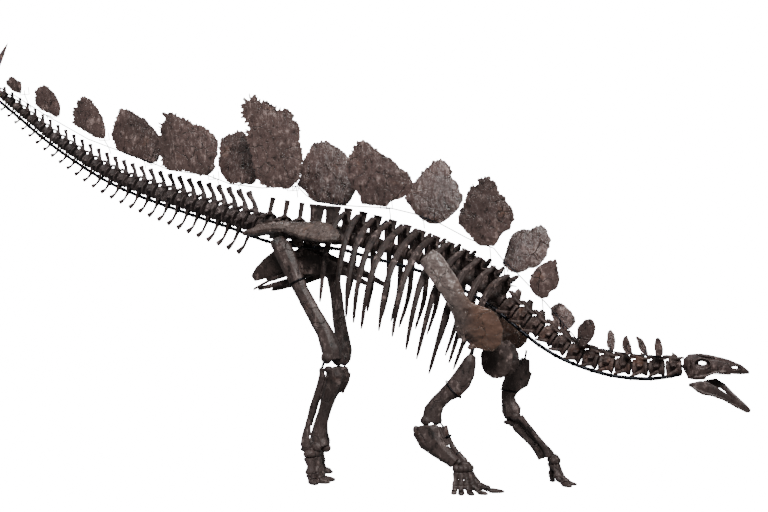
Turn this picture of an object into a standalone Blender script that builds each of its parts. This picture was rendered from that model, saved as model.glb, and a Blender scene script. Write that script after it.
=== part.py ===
"""Mounted Stegosaurus skeleton, life size, in metres.

X runs forward to the head, Y to the animal's left, Z up. Side +1 is the left half, side -1 the
right half. Joint positions are given as (x, z) on the side view and as a distance out from the
midline.
"""

import math

import bmesh
import bpy
from mathutils import Matrix, Vector

# ---- overall layout -------------------------------------------------------------------------
LEFT = 1
RIGHT = -1
SIDES = ((RIGHT, "right"), (LEFT, "left"))
GROUND = 0.025                 # height of the soles in the layout below
CENTRE = Vector((-0.100, 0.0, GROUND))
SEAM = 0.00015                 # half of the gap between touching bones
FIT = 0.0003                   # gap between touching bones
MERGE = 0.0001

# ---- vertebral column, side view (x, z), head to tail ---------------------------------------
COLUMN_LINE = ((2.512, 0.800), (2.379, 0.793), (2.202, 0.796), (2.023, 0.824), (1.854, 0.886),
               (1.687, 0.995), (1.531, 1.105), (1.430, 1.180), (1.307, 1.256), (1.151, 1.348),
               (0.992, 1.417), (0.823, 1.478), (0.632, 1.537), (0.443, 1.582), (0.310, 1.606),
               (0.180, 1.621), (0.070, 1.637), (-0.040, 1.654), (-0.150, 1.676), (-0.270, 1.705),
               (-0.470, 1.765), (-0.720, 1.842), (-1.000, 1.932), (-1.280, 2.030),
               (-1.510, 2.135), (-1.745, 2.270), (-1.970, 2.415), (-2.180, 2.570),
               (-2.385, 2.720), (-2.580, 2.855), (-2.770, 2.955), (-2.930, 3.010))
NECK_FROM = 2.508
TRUNK_FROM = 1.430
SACRUM_FROM = 0.310
TAIL_FROM = -0.268
TAIL_COUNT = 36
TAIL_BASE_COUNT = 12
TAIL_MIDDLE_COUNT = 24
TAIL_RADIUS = (0.080, 0.014)   # centrum radius at the hips and at the tip
TAIL_SPINE = (0.235, 0.020)    # spine tip above the centrum axis at the hips and at the tip
TAIL_CHEVRON = (0.165, 0.040)
CHEVRON_LAST = 28
TAIL_PROCESS_COUNT = 7
TAIL_PROCESS = 0.060
SACRUM_COUNT = 5
SACRUM_RADIUS = 0.055
SACRUM_SPINE = 0.205
SACRUM_SPINE_HALF = (0.053, 0.053, 0.022, 0.022, 0.022)
SACRAL_RIB = 0.118
TRUNK_COUNT = 12
TRUNK_RADIUS = 0.047
TRUNK_SPINE = (0.150, 0.205)   # first and last dorsal
NECK_COUNT = 12
NECK_RADIUS = (0.046, 0.058)   # behind the skull and at the shoulders
NECK_SPINE = (0.060, 0.125)
WAIST = 0.80
SPINE_THICKNESS = 0.011

# ---- ribs, front to rear --------------------------------------------------------------------
RIB_TOP_OUT = 0.120
RIB_TOP_RISE = 0.165
RIB_END_X = (1.210, 1.135, 1.020, 0.953, 0.895, 0.811, 0.726, 0.610, 0.555, 0.500, 0.410, 0.280)
RIB_END_Z = (0.900, 0.804, 0.739, 0.828, 0.885, 0.964, 1.000, 1.012, 1.050, 1.085, 1.117, 1.180)
RIB_BULGE = (0.190, 0.235, 0.290, 0.335, 0.372, 0.392, 0.400, 0.400, 0.390, 0.370, 0.305, 0.255)
RIB_DROP = (0.13, 0.36, 0.68, 1.00)      # share of the drop at each station
RIB_OUT = (0.40, 0.82, 1.00, 0.84)       # share of the way out to the bulge
RIB_BACK = (0.30, 0.53, 0.74, 1.00)      # share of the sweep back
RIB_WIDTH = (0.022, 0.021, 0.017, 0.011)
RIB_DEPTH = (0.011, 0.009, 0.007, 0.005)

# ---- armour ---------------------------------------------------------------------------------
PLATE_LEVELS = (0.04, 0.20, 0.45, 0.72, 0.92)
# lowest point x and z, height, lean forward in degrees, edge offsets behind and ahead (mm)
PLATES = (
    (-2.20, 2.69, 0.14, -6, (-65, -20, 25, 50, 20), (75, 80, 85, 55, 15)),
    (-2.07, 2.54, 0.27, -13, (-65, -10, 60, 70, 60), (110, 130, 120, 90, 50)),
    (-1.56, 2.32, 0.34, -6, (-80, 10, 120, 110, 55), (150, 160, 140, 95, 35)),
    (-1.23, 2.15, 0.49, -23, (-30, 50, 165, 170, 85), (120, 165, 170, 105, 35)),
    (-0.66, 2.01, 0.53, -27, (-30, 55, 185, 150, 55), (145, 215, 235, 125, 45)),
    (-0.47, 1.99, 0.39, -5, (10, 120, 160, 150, 95), (125, 140, 145, 125, 70)),
    (-0.07, 1.91, 0.71, -15, (-25, 125, 130, 120, 115), (150, 220, 250, 215, 40)),
    (0.20, 1.82, 0.45, -5, (-20, 145, 220, 170, 105), (135, 190, 180, 150, 50)),
    (0.63, 1.77, 0.48, -13, (-10, 100, 150, 135, 75), (85, 270, 225, 115, 40)),
    (0.89, 1.70, 0.42, 12, (45, 145, 170, 115, 55), (80, 150, 195, 130, 65)),
    (1.33, 1.52, 0.44, 3, (45, 120, 165, 120, 60), (80, 130, 190, 115, 55)),
    (1.47, 1.36, 0.35, 26, (80, 115, 130, 115, 20), (10, 70, 125, 125, 80)),
    (1.69, 1.20, 0.26, 19, (45, 90, 105, 70, 25), (20, 45, 75, 60, 25)),
    (1.76, 1.00, 0.18, 3, (-10, 30, 60, 70, 45), (40, 75, 85, 55, 10)),
    (1.94, 0.91, 0.17, 17, (10, 40, 60, 55, 30), (5, 30, 45, 45, 25)),
    (2.07, 0.88, 0.13, 1, (10, 20, 25, 25, 20), (15, 20, 25, 25, 10)),
    (2.21, 0.86, 0.12, -5, (5, 20, 30, 25, 15), (20, 25, 20, 15, 10)),
    (2.28, 0.85, 0.13, -22, (5, 10, 15, 12, 10), (20, 25, 30, 25, 10)),
    (2.39, 0.86, 0.11, -1, (15, 20, 25, 20, 15), (20, 25, 20, 15, 5)),
)
PLATE_FINE_HEIGHT = 0.30       # taller plates get a smoother outline
PLATE_OUT = 0.105              # base of a plate out from the midline
PLATE_SPLAY = math.radians(7)  # outward lean of a plate
PLATE_EDGE = 0.0030
PLATE_THICK_SHARE = 0.038      # half thickness at the middle, as a share of the plate's height
# base (x, out, z), tip (x, out, z), base radius
SPIKES = (
    ((-2.545, 0.045, 2.865), (-2.660, 0.400, 3.230), 0.045),
    ((-2.765, 0.035, 2.985), (-3.090, 0.300, 3.170), 0.038),
)

# ---- limbs: (x, z, half width fore and aft, half width across, out from the midline) ---------
FEMUR = {
    RIGHT: ((-0.024, 1.590, 0.044, 0.036, 0.215), (0.012, 1.533, 0.068, 0.044, 0.230),
            (0.050, 1.459, 0.068, 0.042, 0.230), (0.093, 1.367, 0.058, 0.038, 0.228),
            (0.149, 1.253, 0.050, 0.036, 0.225), (0.226, 1.120, 0.052, 0.037, 0.222),
            (0.310, 0.985, 0.056, 0.044, 0.220), (0.352, 0.880, 0.066, 0.060, 0.215),
            (0.366, 0.812, 0.060, 0.056, 0.215)),
    LEFT: ((0.002, 1.590, 0.044, 0.036, 0.215), (0.060, 1.515, 0.068, 0.044, 0.230),
           (0.125, 1.440, 0.062, 0.042, 0.230), (0.178, 1.365, 0.048, 0.038, 0.228),
           (0.205, 1.240, 0.044, 0.036, 0.225), (0.222, 1.100, 0.047, 0.037, 0.222),
           (0.247, 0.965, 0.051, 0.044, 0.220), (0.260, 0.860, 0.064, 0.060, 0.215),
           (0.253, 0.795, 0.060, 0.056, 0.215)),
}
TIBIA = {
    RIGHT: ((0.356, 0.758, 0.050, 0.048, 0.195), (0.368, 0.712, 0.060, 0.044, 0.195),
            (0.352, 0.655, 0.050, 0.038, 0.195), (0.327, 0.577, 0.042, 0.032, 0.195),
            (0.298, 0.490, 0.042, 0.029, 0.195), (0.268, 0.380, 0.045, 0.030, 0.195),
            (0.262, 0.310, 0.050, 0.036, 0.198), (0.284, 0.254, 0.052, 0.042, 0.200)),
    LEFT: ((0.250, 0.740, 0.050, 0.048, 0.195), (0.262, 0.692, 0.058, 0.044, 0.195),
           (0.235, 0.630, 0.046, 0.038, 0.195), (0.192, 0.567, 0.038, 0.032, 0.195),
           (0.156, 0.480, 0.034, 0.029, 0.195), (0.124, 0.375, 0.033, 0.030, 0.195),
           (0.118, 0.300, 0.040, 0.036, 0.198), (0.126, 0.240, 0.048, 0.044, 0.200)),
}
FIBULA = {
    RIGHT: ((0.316, 0.762, 0.020, 0.015, 0.268), (0.304, 0.690, 0.019, 0.013, 0.268),
            (0.279, 0.605, 0.024, 0.012, 0.266), (0.245, 0.518, 0.022, 0.012, 0.264),
            (0.212, 0.400, 0.021, 0.012, 0.262), (0.196, 0.322, 0.030, 0.014, 0.264),
            (0.194, 0.262, 0.034, 0.017, 0.266)),
    LEFT: ((0.205, 0.748, 0.020, 0.015, 0.268), (0.185, 0.680, 0.018, 0.013, 0.268),
           (0.128, 0.560, 0.016, 0.012, 0.264), (0.075, 0.450, 0.016, 0.012, 0.262),
           (0.036, 0.340, 0.018, 0.014, 0.264), (0.024, 0.262, 0.028, 0.017, 0.266)),
}
HUMERUS = {
    RIGHT: ((1.299, 0.858, 0.022, 0.028, 0.285), (1.288, 0.822, 0.042, 0.038, 0.288),
            (1.264, 0.756, 0.059, 0.040, 0.290), (1.236, 0.703, 0.068, 0.036, 0.295),
            (1.190, 0.652, 0.064, 0.034, 0.295), (1.134, 0.612, 0.050, 0.032, 0.295),
            (1.086, 0.566, 0.051, 0.034, 0.292), (1.056, 0.520, 0.060, 0.042, 0.290),
            (1.044, 0.452, 0.062, 0.046, 0.290)),
    LEFT: ((1.499, 0.815, 0.030, 0.030, 0.285), (1.470, 0.738, 0.066, 0.040, 0.290),
           (1.425, 0.672, 0.080, 0.036, 0.295), (1.390, 0.622, 0.062, 0.034, 0.295),
           (1.380, 0.570, 0.048, 0.032, 0.292), (1.387, 0.525, 0.054, 0.036, 0.290),
           (1.402, 0.485, 0.068, 0.046, 0.290), (1.407, 0.444, 0.054, 0.044, 0.290)),
}
ULNA = {
    RIGHT: ((1.014, 0.430, 0.074, 0.026, 0.315), (1.018, 0.395, 0.088, 0.030, 0.315),
            (1.044, 0.338, 0.080, 0.030, 0.315), (1.100, 0.284, 0.058, 0.026, 0.312),
            (1.156, 0.238, 0.044, 0.022, 0.308), (1.196, 0.207, 0.038, 0.022, 0.305)),
    LEFT: ((1.415, 0.418, 0.034, 0.024, 0.315), (1.440, 0.378, 0.042, 0.030, 0.315),
           (1.483, 0.330, 0.034, 0.028, 0.315), (1.536, 0.276, 0.029, 0.024, 0.312),
           (1.578, 0.224, 0.031, 0.022, 0.308), (1.602, 0.184, 0.034, 0.022, 0.305)),
}
RADIUS = {
    RIGHT: ((1.112, 0.424, 0.024, 0.024, 0.250), (1.130, 0.369, 0.020, 0.018, 0.250),
            (1.158, 0.315, 0.018, 0.016, 0.250), (1.194, 0.261, 0.019, 0.018, 0.250),
            (1.228, 0.214, 0.026, 0.022, 0.250)),
    LEFT: ((1.468, 0.448, 0.024, 0.024, 0.250), (1.502, 0.410, 0.019, 0.018, 0.250),
           (1.545, 0.360, 0.018, 0.016, 0.250), (1.592, 0.305, 0.019, 0.018, 0.250),
           (1.634, 0.252, 0.023, 0.018, 0.250), (1.656, 0.200, 0.026, 0.022, 0.250)),
}
SCAPULA = ((1.050, 1.460, 0.060, 0.008, 0.402), (1.088, 1.419, 0.078, 0.010, 0.402),
           (1.141, 1.347, 0.075, 0.011, 0.402), (1.190, 1.275, 0.074, 0.013, 0.395),
           (1.228, 1.200, 0.069, 0.018, 0.378), (1.262, 1.135, 0.076, 0.022, 0.355),
           (1.304, 1.080, 0.122, 0.020, 0.332), (1.340, 1.035, 0.152, 0.018, 0.308),
           (1.366, 0.985, 0.146, 0.016, 0.285), (1.366, 0.935, 0.118, 0.014, 0.262),
           (1.356, 0.893, 0.070, 0.012, 0.246))
FAR_SHOULDER_SHIFT = 0.040
STERNAL_CENTRE = (1.402, 0.825)
STERNAL_OUT = 0.085
STERNAL_HALF = (0.105, 0.120, 0.013)
WRIST = {RIGHT: (1.268, 0.155, 0.268), LEFT: (1.692, 0.150, 0.268)}
BLOCK_BACK = 0.80              # wrist and ankle blocks curve round a point this far back
HAND_SPREAD = math.radians(150)
HAND_RADIUS = 0.050
HAND_BLOCK = (0.024, 0.018)
HAND_REACH = (0.022, 0.066, 0.036)
# how far each digit of the hand reaches, from the animal's right to its left
HAND_STRIDE = {RIGHT: (0.5, 0.7, 0.9, 1.3, 2.1), LEFT: (1.5, 1.3, 1.0, 0.7, 0.5)}
HAND_TURN = {RIGHT: math.radians(-42), LEFT: math.radians(25)}
ANKLE = {RIGHT: (0.205, 0.205, 0.222), LEFT: (0.045, 0.205, 0.222)}
FOOT_SPREAD = math.radians(62)
FOOT_RADIUS = 0.092
FOOT_BLOCK = (0.036, 0.020)
FOOT_REACH = (0.010, 0.004, 0.085)
FOOT_HEEL = 0.050              # the middle toe's sole starts this much further back
FOOT_STRIDE = {RIGHT: (0.8, 1.0, 1.2), LEFT: (1.2, 1.0, 0.8)}

# ---- hips -----------------------------------------------------------------------------------
# the blade: half width, half thickness, out from the midline and how far its outer edge dips
ILIUM = ((-0.285, 1.636, 0.018, 0.014, 0.200, 12), (-0.200, 1.648, 0.045, 0.026, 0.195, 16),
         (-0.080, 1.668, 0.060, 0.032, 0.190, 18), (0.030, 1.668, 0.070, 0.034, 0.200, 20),
         (0.110, 1.655, 0.088, 0.034, 0.222, 26), (0.190, 1.642, 0.104, 0.034, 0.255, 32),
         (0.290, 1.630, 0.108, 0.032, 0.300, 36), (0.380, 1.612, 0.094, 0.028, 0.360, 38),
         (0.450, 1.590, 0.062, 0.022, 0.410, 36), (0.500, 1.578, 0.024, 0.014, 0.435, 32))
PUBIS = ((0.072, 1.458, 0.076, 0.014, 0.150), (0.150, 1.440, 0.088, 0.014, 0.152),
         (0.245, 1.420, 0.062, 0.014, 0.155), (0.360, 1.400, 0.037, 0.013, 0.160),
         (0.460, 1.360, 0.025, 0.012, 0.165), (0.575, 1.297, 0.016, 0.010, 0.170))
PUBIC_ROD = ((0.000, 1.362), (-0.100, 1.335), (-0.238, 1.268))
ISCHIUM = ((0.012, 1.500, 0.075, 0.014, 0.145), (-0.070, 1.448, 0.080, 0.014, 0.135),
           (-0.150, 1.410, 0.066, 0.012, 0.120), (-0.215, 1.372, 0.052, 0.010, 0.105),
           (-0.262, 1.340, 0.026, 0.008, 0.098))
HIP_SOCKET = (0.016, 1.556)
HIP_SOCKET_OUT = 0.170

# ---- head: (x, top, bottom, half width) -----------------------------------------------------
SKULL = ((2.516, 0.842, 0.780, 0.036), (2.545, 0.869, 0.728, 0.062), (2.590, 0.873, 0.722, 0.072),
         (2.636, 0.867, 0.724, 0.070), (2.655, 0.863, 0.762, 0.066), (2.720, 0.855, 0.768, 0.054),
         (2.780, 0.838, 0.760, 0.043), (2.840, 0.813, 0.757, 0.031), (2.886, 0.776, 0.760, 0.017))
ORBIT = ((2.628, 0.818), (0.046, 0.030))
NARIS = ((2.812, 0.795), (0.028, 0.013))
TEMPORAL = ((2.566, 0.792), (0.011, 0.044))
JAW = ((2.552, 0.698, 0.012, 0.060), (2.610, 0.688, 0.032, 0.064), (2.680, 0.658, 0.030, 0.056),
       (2.750, 0.624, 0.026, 0.044), (2.815, 0.590, 0.024, 0.032), (2.866, 0.562, 0.026, 0.018))
JAW_TIP = (2.884, 0.556, 0.030)
JAW_THICK = 0.009

# ---- steelwork ------------------------------------------------------------------------------
BAR_RADIUS = 0.009
BAR_DROP = 0.014
BAR_CLEAR = 0.0060             # extra half width of the passage cut for the bar
BAR_TRUNK = ((-0.180, 1.586), (0.100, 1.548), (0.323, 1.530), (0.535, 1.472), (0.742, 1.420),
             (0.930, 1.360), (1.150, 1.265), (1.330, 1.165), (1.455, 1.062), (1.562, 0.968),
             (1.655, 0.896), (1.779, 0.824), (1.932, 0.766), (2.095, 0.726), (2.261, 0.712),
             (2.378, 0.722), (2.500, 0.752))
WIRE_RADIUS = 0.0032
WIRE_OUT = 0.078               # the wire runs inside the feet of the plates
WIRE_DROP = -0.010
POST_DROP = 0.012
TAIL_TIP_SHARE = 0.90
SPINE_SIDE = 0.034             # posts stop this far out from the midline
# tops of the neural spines (x, z)
BACK_LINE = ((-2.40, 2.790), (-2.16, 2.640), (-1.62, 2.340), (-1.25, 2.165), (-0.89, 2.060),
             (-0.46, 1.970), (0.00, 1.900), (0.34, 1.805), (0.85, 1.690), (1.18, 1.545),
             (1.43, 1.350), (1.70, 1.070), (1.95, 0.920), (2.45, 0.855))


# ---- materials ------------------------------------------------------------------------------
def make_material(name, colour, roughness, metallic=0.0):
    material = bpy.data.materials.new(name)
    material.use_nodes = True
    shader = material.node_tree.nodes["Principled BSDF"]
    shader.inputs["Base Color"].default_value = (*colour, 1.0)
    shader.inputs["Roughness"].default_value = roughness
    shader.inputs["Metallic"].default_value = metallic
    material.diffuse_color = (*colour, 1.0)
    return material


# ---- shape helpers --------------------------------------------------------------------------
def blend(pair, share):
    return pair[0] + (pair[1] - pair[0]) * share


def catmull(a, b, c, d, t):
    return 0.5 * (2 * b + (c - a) * t + (2 * a - 5 * b + 4 * c - d) * t * t
                  + (3 * b - a - 3 * c + d) * t ** 3)


def smooth_line(points, fine=12):
    """Points closely spaced on a smooth line through (x, z) control points."""
    ends = [Vector((x, 0.0, z)) for x, z in points]
    ends = [2 * ends[0] - ends[1]] + ends + [2 * ends[-1] - ends[-2]]
    line = []
    for k in range(1, len(ends) - 2):
        for step in range(fine):
            line.append(catmull(ends[k - 1], ends[k], ends[k + 1], ends[k + 2], step / fine))
    line.append(ends[-2])
    return line


class Track:
    """A smooth side-view line that gives position and direction at a share of its length."""

    def __init__(self, points):
        self.line = smooth_line(points)
        self.length = [0.0]
        for a, b in zip(self.line, self.line[1:]):
            self.length.append(self.length[-1] + (b - a).length)

    def at(self, share):
        goal = min(max(share, 0.0), 1.0) * self.length[-1]
        k = 0
        while k < len(self.line) - 2 and self.length[k + 1] < goal:
            k += 1
        span = self.length[k + 1] - self.length[k]
        return self.line[k].lerp(self.line[k + 1], (goal - self.length[k]) / span)

    def along(self, share):
        step = 0.004
        return (self.at(share + step) - self.at(share - step)).normalized()

    def share_at(self, x):
        """Share of the length at which the line reaches a given x."""
        for k in range(len(self.line) - 1):
            a, b = self.line[k], self.line[k + 1]
            if min(a.x, b.x) <= x <= max(a.x, b.x):
                part = (x - a.x) / (b.x - a.x)
                return (self.length[k] + part * (b - a).length) / self.length[-1]
        return 0.0 if abs(x - self.line[0].x) < abs(x - self.line[-1].x) else 1.0


COLUMN = Track(COLUMN_LINE)


def across(direction, side):
    """Unit side vector square to a direction, and the third axis."""
    u = (side - direction * side.dot(direction)).normalized()
    return u, direction.cross(u)


def ellipse(centre, u, v, half_u, half_v, count, phase=0.5):
    ring = []
    for k in range(count):
        angle = 2 * math.pi * (k + phase) / count
        ring.append(centre + u * half_u * math.cos(angle) + v * half_v * math.sin(angle))
    return ring


def rectangle(centre, u, v, half_u, half_v):
    return [centre + u * half_u + v * half_v, centre - u * half_u + v * half_v,
            centre - u * half_u - v * half_v, centre + u * half_u - v * half_v]


def skin(bm, rings, closed=False):
    """Side faces between successive rings, with flat end caps."""
    loops = [[bm.verts.new(point) for point in ring] for ring in rings]
    count = len(loops[0])
    bands = []
    pairs = list(zip(loops, loops[1:]))
    if closed:
        pairs.append((loops[-1], loops[0]))
    for low, high in pairs:
        band = []
        for k in range(count):
            nxt = (k + 1) % count
            band.append(bm.faces.new((low[k], low[nxt], high[nxt], high[k])))
        bands.append(band)
    if not closed:
        bm.faces.new(list(reversed(loops[0])))
        bm.faces.new(loops[-1])
    return bands


def best_order(verts, targets):
    """The target ring turned and flipped so that each corner is nearest to its start."""
    middle = sum((v.co for v in verts), Vector()) / len(verts)
    goal = sum(targets, Vector()) / len(targets)
    best = None
    for ring in (list(targets), list(reversed(targets))):
        for turn in range(len(ring)):
            trial = ring[turn:] + ring[:turn]
            miss = sum(((v.co - middle) - (t - goal)).length_squared for v, t in zip(verts, trial))
            if best is None or miss < best[0]:
                best = (miss, trial)
    return best[1]


def grow(bm, face, rings):
    """Draw a face out through the given rings and return the last face."""
    for ring in rings:
        face = bmesh.ops.extrude_discrete_faces(bm, faces=[face])["faces"][0]
        verts = list(face.verts)
        for vert, point in zip(verts, best_order(verts, ring)):
            vert.co = point
    return face


def nearest_face(bm, point):
    return min(bm.faces, key=lambda face: (face.calc_center_median() - point).length)


def finish(bm, name, material, smooth=True):
    bmesh.ops.recalc_face_normals(bm, faces=bm.faces)
    mesh = bpy.data.meshes.new(name)
    bm.to_mesh(mesh)
    bm.free()
    mesh.polygons.foreach_set("use_smooth", [smooth] * len(mesh.polygons))
    mesh.materials.append(material)
    part = bpy.data.objects.new(name, mesh)
    bpy.context.scene.collection.objects.link(part)
    return part


def remesh_from_modifiers(part):
    """Replace the mesh with the one its modifiers give."""
    graph = bpy.context.evaluated_depsgraph_get()
    mesh = bpy.data.meshes.new_from_object(part.evaluated_get(graph))
    part.modifiers.clear()
    part.data = mesh
    return part


def boolean(part, tool, operation):
    """Cut or join with a tool, which is then removed."""
    modifier = part.modifiers.new(operation.lower(), "BOOLEAN")
    modifier.operation = operation
    modifier.solver = "EXACT"
    modifier.object = tool
    remesh_from_modifiers(part)
    bpy.data.objects.remove(tool)
    bm = bmesh.new()
    bm.from_mesh(part.data)
    bmesh.ops.remove_doubles(bm, verts=bm.verts, dist=MERGE)
    bmesh.ops.dissolve_degenerate(bm, edges=bm.edges, dist=MERGE)
    bm.to_mesh(part.data)
    bm.free()
    return part


# ---- vertebrae ------------------------------------------------------------------------------
class Section:
    """A run of vertebrae between two places on the column."""

    def __init__(self, from_x, to_x, count, radius, ring_of, side=1.0):
        self.start = COLUMN.share_at(from_x)
        self.step = (COLUMN.share_at(to_x) - self.start) / count
        self.count = count
        self.radius = radius
        self.ring_of = ring_of
        self.side = side

    def frame(self, index):
        """Position, direction towards the tail, side and up at a vertebra number."""
        place = self.start + self.step * index
        along = COLUMN.along(place)
        side = Vector((0.0, 1.0, 0.0))
        return COLUMN.at(place), along, side, side.cross(along)

    def bands(self, bm, first, last):
        """Skin the vertebrae first..last and give their bands of faces, two to a vertebra."""
        rings = []
        for half in range(2 * first, 2 * last + 1):
            centre, along, side, up = self.frame(half / 2)
            if half == 2 * first:
                centre = centre + along * FIT
            scale = WAIST if half % 2 else 1.0
            size = self.radius(half / 2 / self.count) * scale
            rings.append(self.ring_of(centre, side * self.side, up, size))
        return skin(bm, rings)


def whole_ring(centre, side, up, radius):
    """Six-sided centrum outline with flat strips at the top and the bottom."""
    shape = ((0.34, 1.0), (0.95, 0.15), (0.62, -0.85), (-0.62, -0.85), (-0.95, 0.15), (-0.34, 1.0))
    return [centre + side * radius * y + up * radius * z for y, z in shape]


def half_ring(centre, side, up, radius):
    """Half of a centrum and arch, flat along the midline."""
    seam = side * SEAM
    shape = ((0.0, -1.0), (0.78, -0.62), (1.0, 0.15), (0.66, 0.95), (0.24, 1.25), (0.0, 1.25))
    return [centre + seam + side * radius * y + up * radius * z for y, z in shape]


def neural_spine(bm, face, frame, height, half_long, half_thick, lean=0.0):
    """Upright blade; a positive lean tips it back."""
    centre, along, side, up = frame
    top = centre + up * height + along * height * lean
    grow(bm, face, [rectangle(top, along, side, half_long, half_thick)])


def chevron(bm, face, frame, radius, length):
    """Haemal arch, wide at the top where the bar passes through it, with a clubbed end."""
    centre, along, side, up = frame
    axis = (along * 0.27 - up * 0.96).normalized()
    root = centre - up * radius * 0.85
    rings = []
    rings.append(rectangle(root + axis * length, side, axis.cross(side), 0.006, 0.009))
    grow(bm, face, rings)


def side_process(bm, face, start, side, reach, rise, half_long, half_thick):
    """Short transverse process out from the side of a centrum."""
    end = start + Vector((0.0, side * reach, rise))
    ring = rectangle(end, Vector((1.0, 0.0, 0.0)), Vector((0.0, 0.0, 1.0)), half_long, half_thick)
    grow(bm, face, [ring])


def tail_radius(place):
    return blend(TAIL_RADIUS, place ** 1.3)


def tail_run():
    """The whole tail as one run; its tip is the end of the column line."""
    return Section(TAIL_FROM, COLUMN_LINE[-1][0], TAIL_COUNT, tail_radius, whole_ring)


def tail_section(name, first, last, material):
    run = tail_run()
    bm = bmesh.new()
    bands = run.bands(bm, first, last)
    for index in range(first, last):
        place = (index + 0.5) / TAIL_COUNT
        frame = run.frame(index + 0.62)
        front, rear = bands[2 * (index - first)], bands[2 * (index - first) + 1]
        height = blend(TAIL_SPINE, place ** 0.85)
        neural_spine(bm, rear[5], frame, height, 0.018 * (1.12 - place), 0.010 - 0.005 * place,
                     0.20 * (1.0 - 2.6 * place))
        if index < CHEVRON_LAST:
            chevron(bm, rear[2], frame, tail_radius(place), blend(TAIL_CHEVRON, place))
        if index < TAIL_PROCESS_COUNT:
            reach = tail_radius(place) + TAIL_PROCESS * (1.1 - index / TAIL_PROCESS_COUNT)
            centre = run.frame(index + 0.35)[0]
            side_process(bm, front[0], centre, 1, reach, -0.005, 0.014, 0.007)
            side_process(bm, front[4], centre, -1, reach, -0.005, 0.014, 0.007)
    return finish(bm, name, material)


def sacrum(material):
    run = Section(SACRUM_FROM - FIT, TAIL_FROM + FIT, SACRUM_COUNT, lambda place: SACRUM_RADIUS,
                  whole_ring)
    bm = bmesh.new()
    bands = run.bands(bm, 0, SACRUM_COUNT)
    for index in range(SACRUM_COUNT):
        frame = run.frame(index + 0.5)
        front, rear = bands[2 * index], bands[2 * index + 1]
        neural_spine(bm, rear[5], frame, SACRUM_SPINE, SACRUM_SPINE_HALF[index], SPINE_THICKNESS)
        for side, face in ((1, front[0]), (-1, front[4])):
            side_process(bm, face, frame[0], side, SACRAL_RIB, 0.004, 0.024, 0.014)
    return finish(bm, "sacrum", material)


def neck(material):
    run = Section(NECK_FROM, TRUNK_FROM + FIT, NECK_COUNT, lambda place: blend(NECK_RADIUS, place),
                  whole_ring)
    bm = bmesh.new()
    bands = run.bands(bm, 0, NECK_COUNT)
    for index in range(NECK_COUNT):
        place = (index + 0.5) / NECK_COUNT
        radius = blend(NECK_RADIUS, place)
        front, rear = bands[2 * index], bands[2 * index + 1]
        neural_spine(bm, rear[5], run.frame(index + 0.62), blend(NECK_SPINE, place ** 1.6),
                     0.020, 0.008)
        for side, face in ((1, front[1]), (-1, front[3])):
            cervical_rib(bm, face, run.frame(index + 0.5), side, radius)
    return finish(bm, "neck", material)


def cervical_rib(bm, face, frame, side, radius):
    """Small rib that points down and back from the side of a neck vertebra."""
    centre, along, along_y, up = frame
    end = centre + along_y * side * radius * 1.5 - up * radius * 1.42 + along * 0.030
    grow(bm, face, [rectangle(end, along, up, 0.014, 0.005)])


# ---- ribs and trunk -------------------------------------------------------------------------
def rib_rings(top, index, side):
    """Stations of one rib from the tip of its transverse process to its lower end."""
    points = [top]
    for drop, out, back in zip(RIB_DROP, RIB_OUT, RIB_BACK):
        x = blend((top.x, RIB_END_X[index]), back)
        y = blend((RIB_TOP_OUT, RIB_BULGE[index]), out)
        z = blend((top.z, RIB_END_Z[index]), drop)
        points.append(Vector((x, side * y, z)))
    rings = []
    for k in range(1, len(points)):
        ahead = points[min(k + 1, len(points) - 1)] - points[k - 1]
        u, v = across(ahead.normalized(), Vector((1.0, 0.0, 0.0)))
        rings.append(rectangle(points[k], u, v, RIB_WIDTH[k - 1], RIB_DEPTH[k - 1]))
    return rings


def trunk_half(side, label, material):
    """Every dorsal vertebra's half on one side, with the ribs of that side."""
    run = Section(TRUNK_FROM - FIT, SACRUM_FROM + FIT, TRUNK_COUNT, lambda place: TRUNK_RADIUS,
                  half_ring, side)
    bm = bmesh.new()
    bands = run.bands(bm, 0, TRUNK_COUNT)
    for index in range(TRUNK_COUNT):
        place = (index + 0.5) / TRUNK_COUNT
        centre, along, along_y, up = run.frame(index + 0.6)
        front, rear = bands[2 * index], bands[2 * index + 1]
        half_spine(bm, rear[4], centre, along, up, side, blend(TRUNK_SPINE, place))
        top = run.frame(index + 0.4)[0] + up * RIB_TOP_RISE + along_y * side * RIB_TOP_OUT
        tip = rectangle(top, along, up, 0.018, 0.013)
        grow(bm, front[3], [tip] + rib_rings(top, index, side))
    return finish(bm, "trunk_" + label, material)


def half_spine(bm, face, centre, along, up, side, height):
    """Flat-topped neural spine, split along the midline."""
    out = Vector((0.0, side, 0.0))
    middle = centre + up * height + out * (SEAM + SPINE_THICKNESS / 2)
    grow(bm, face, [rectangle(middle, along, out, 0.030, SPINE_THICKNESS / 2)])


# ---- limb bones -----------------------------------------------------------------------------
def bone_rings(stations, side, sides):
    """Rings across a bone given as stations in the side view."""
    points = [Vector((x, side * out, z)) for x, z, long, wide, out in stations]
    rings = []
    for k, (x, z, long, wide, out) in enumerate(stations):
        ahead = points[min(k + 1, len(points) - 1)] - points[max(k - 1, 0)]
        u, v = across(ahead.normalized(), Vector((0.0, 1.0, 0.0)))
        rings.append(ellipse(points[k], u, v, wide, long, sides))
    return rings


def bone(name, stations, side, material, sides=8):
    bm = bmesh.new()
    skin(bm, bone_rings(stations, side, sides))
    return finish(bm, name, material)


def shifted(stations, dx):
    return tuple((x + dx, *rest) for x, *rest in stations)


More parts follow.
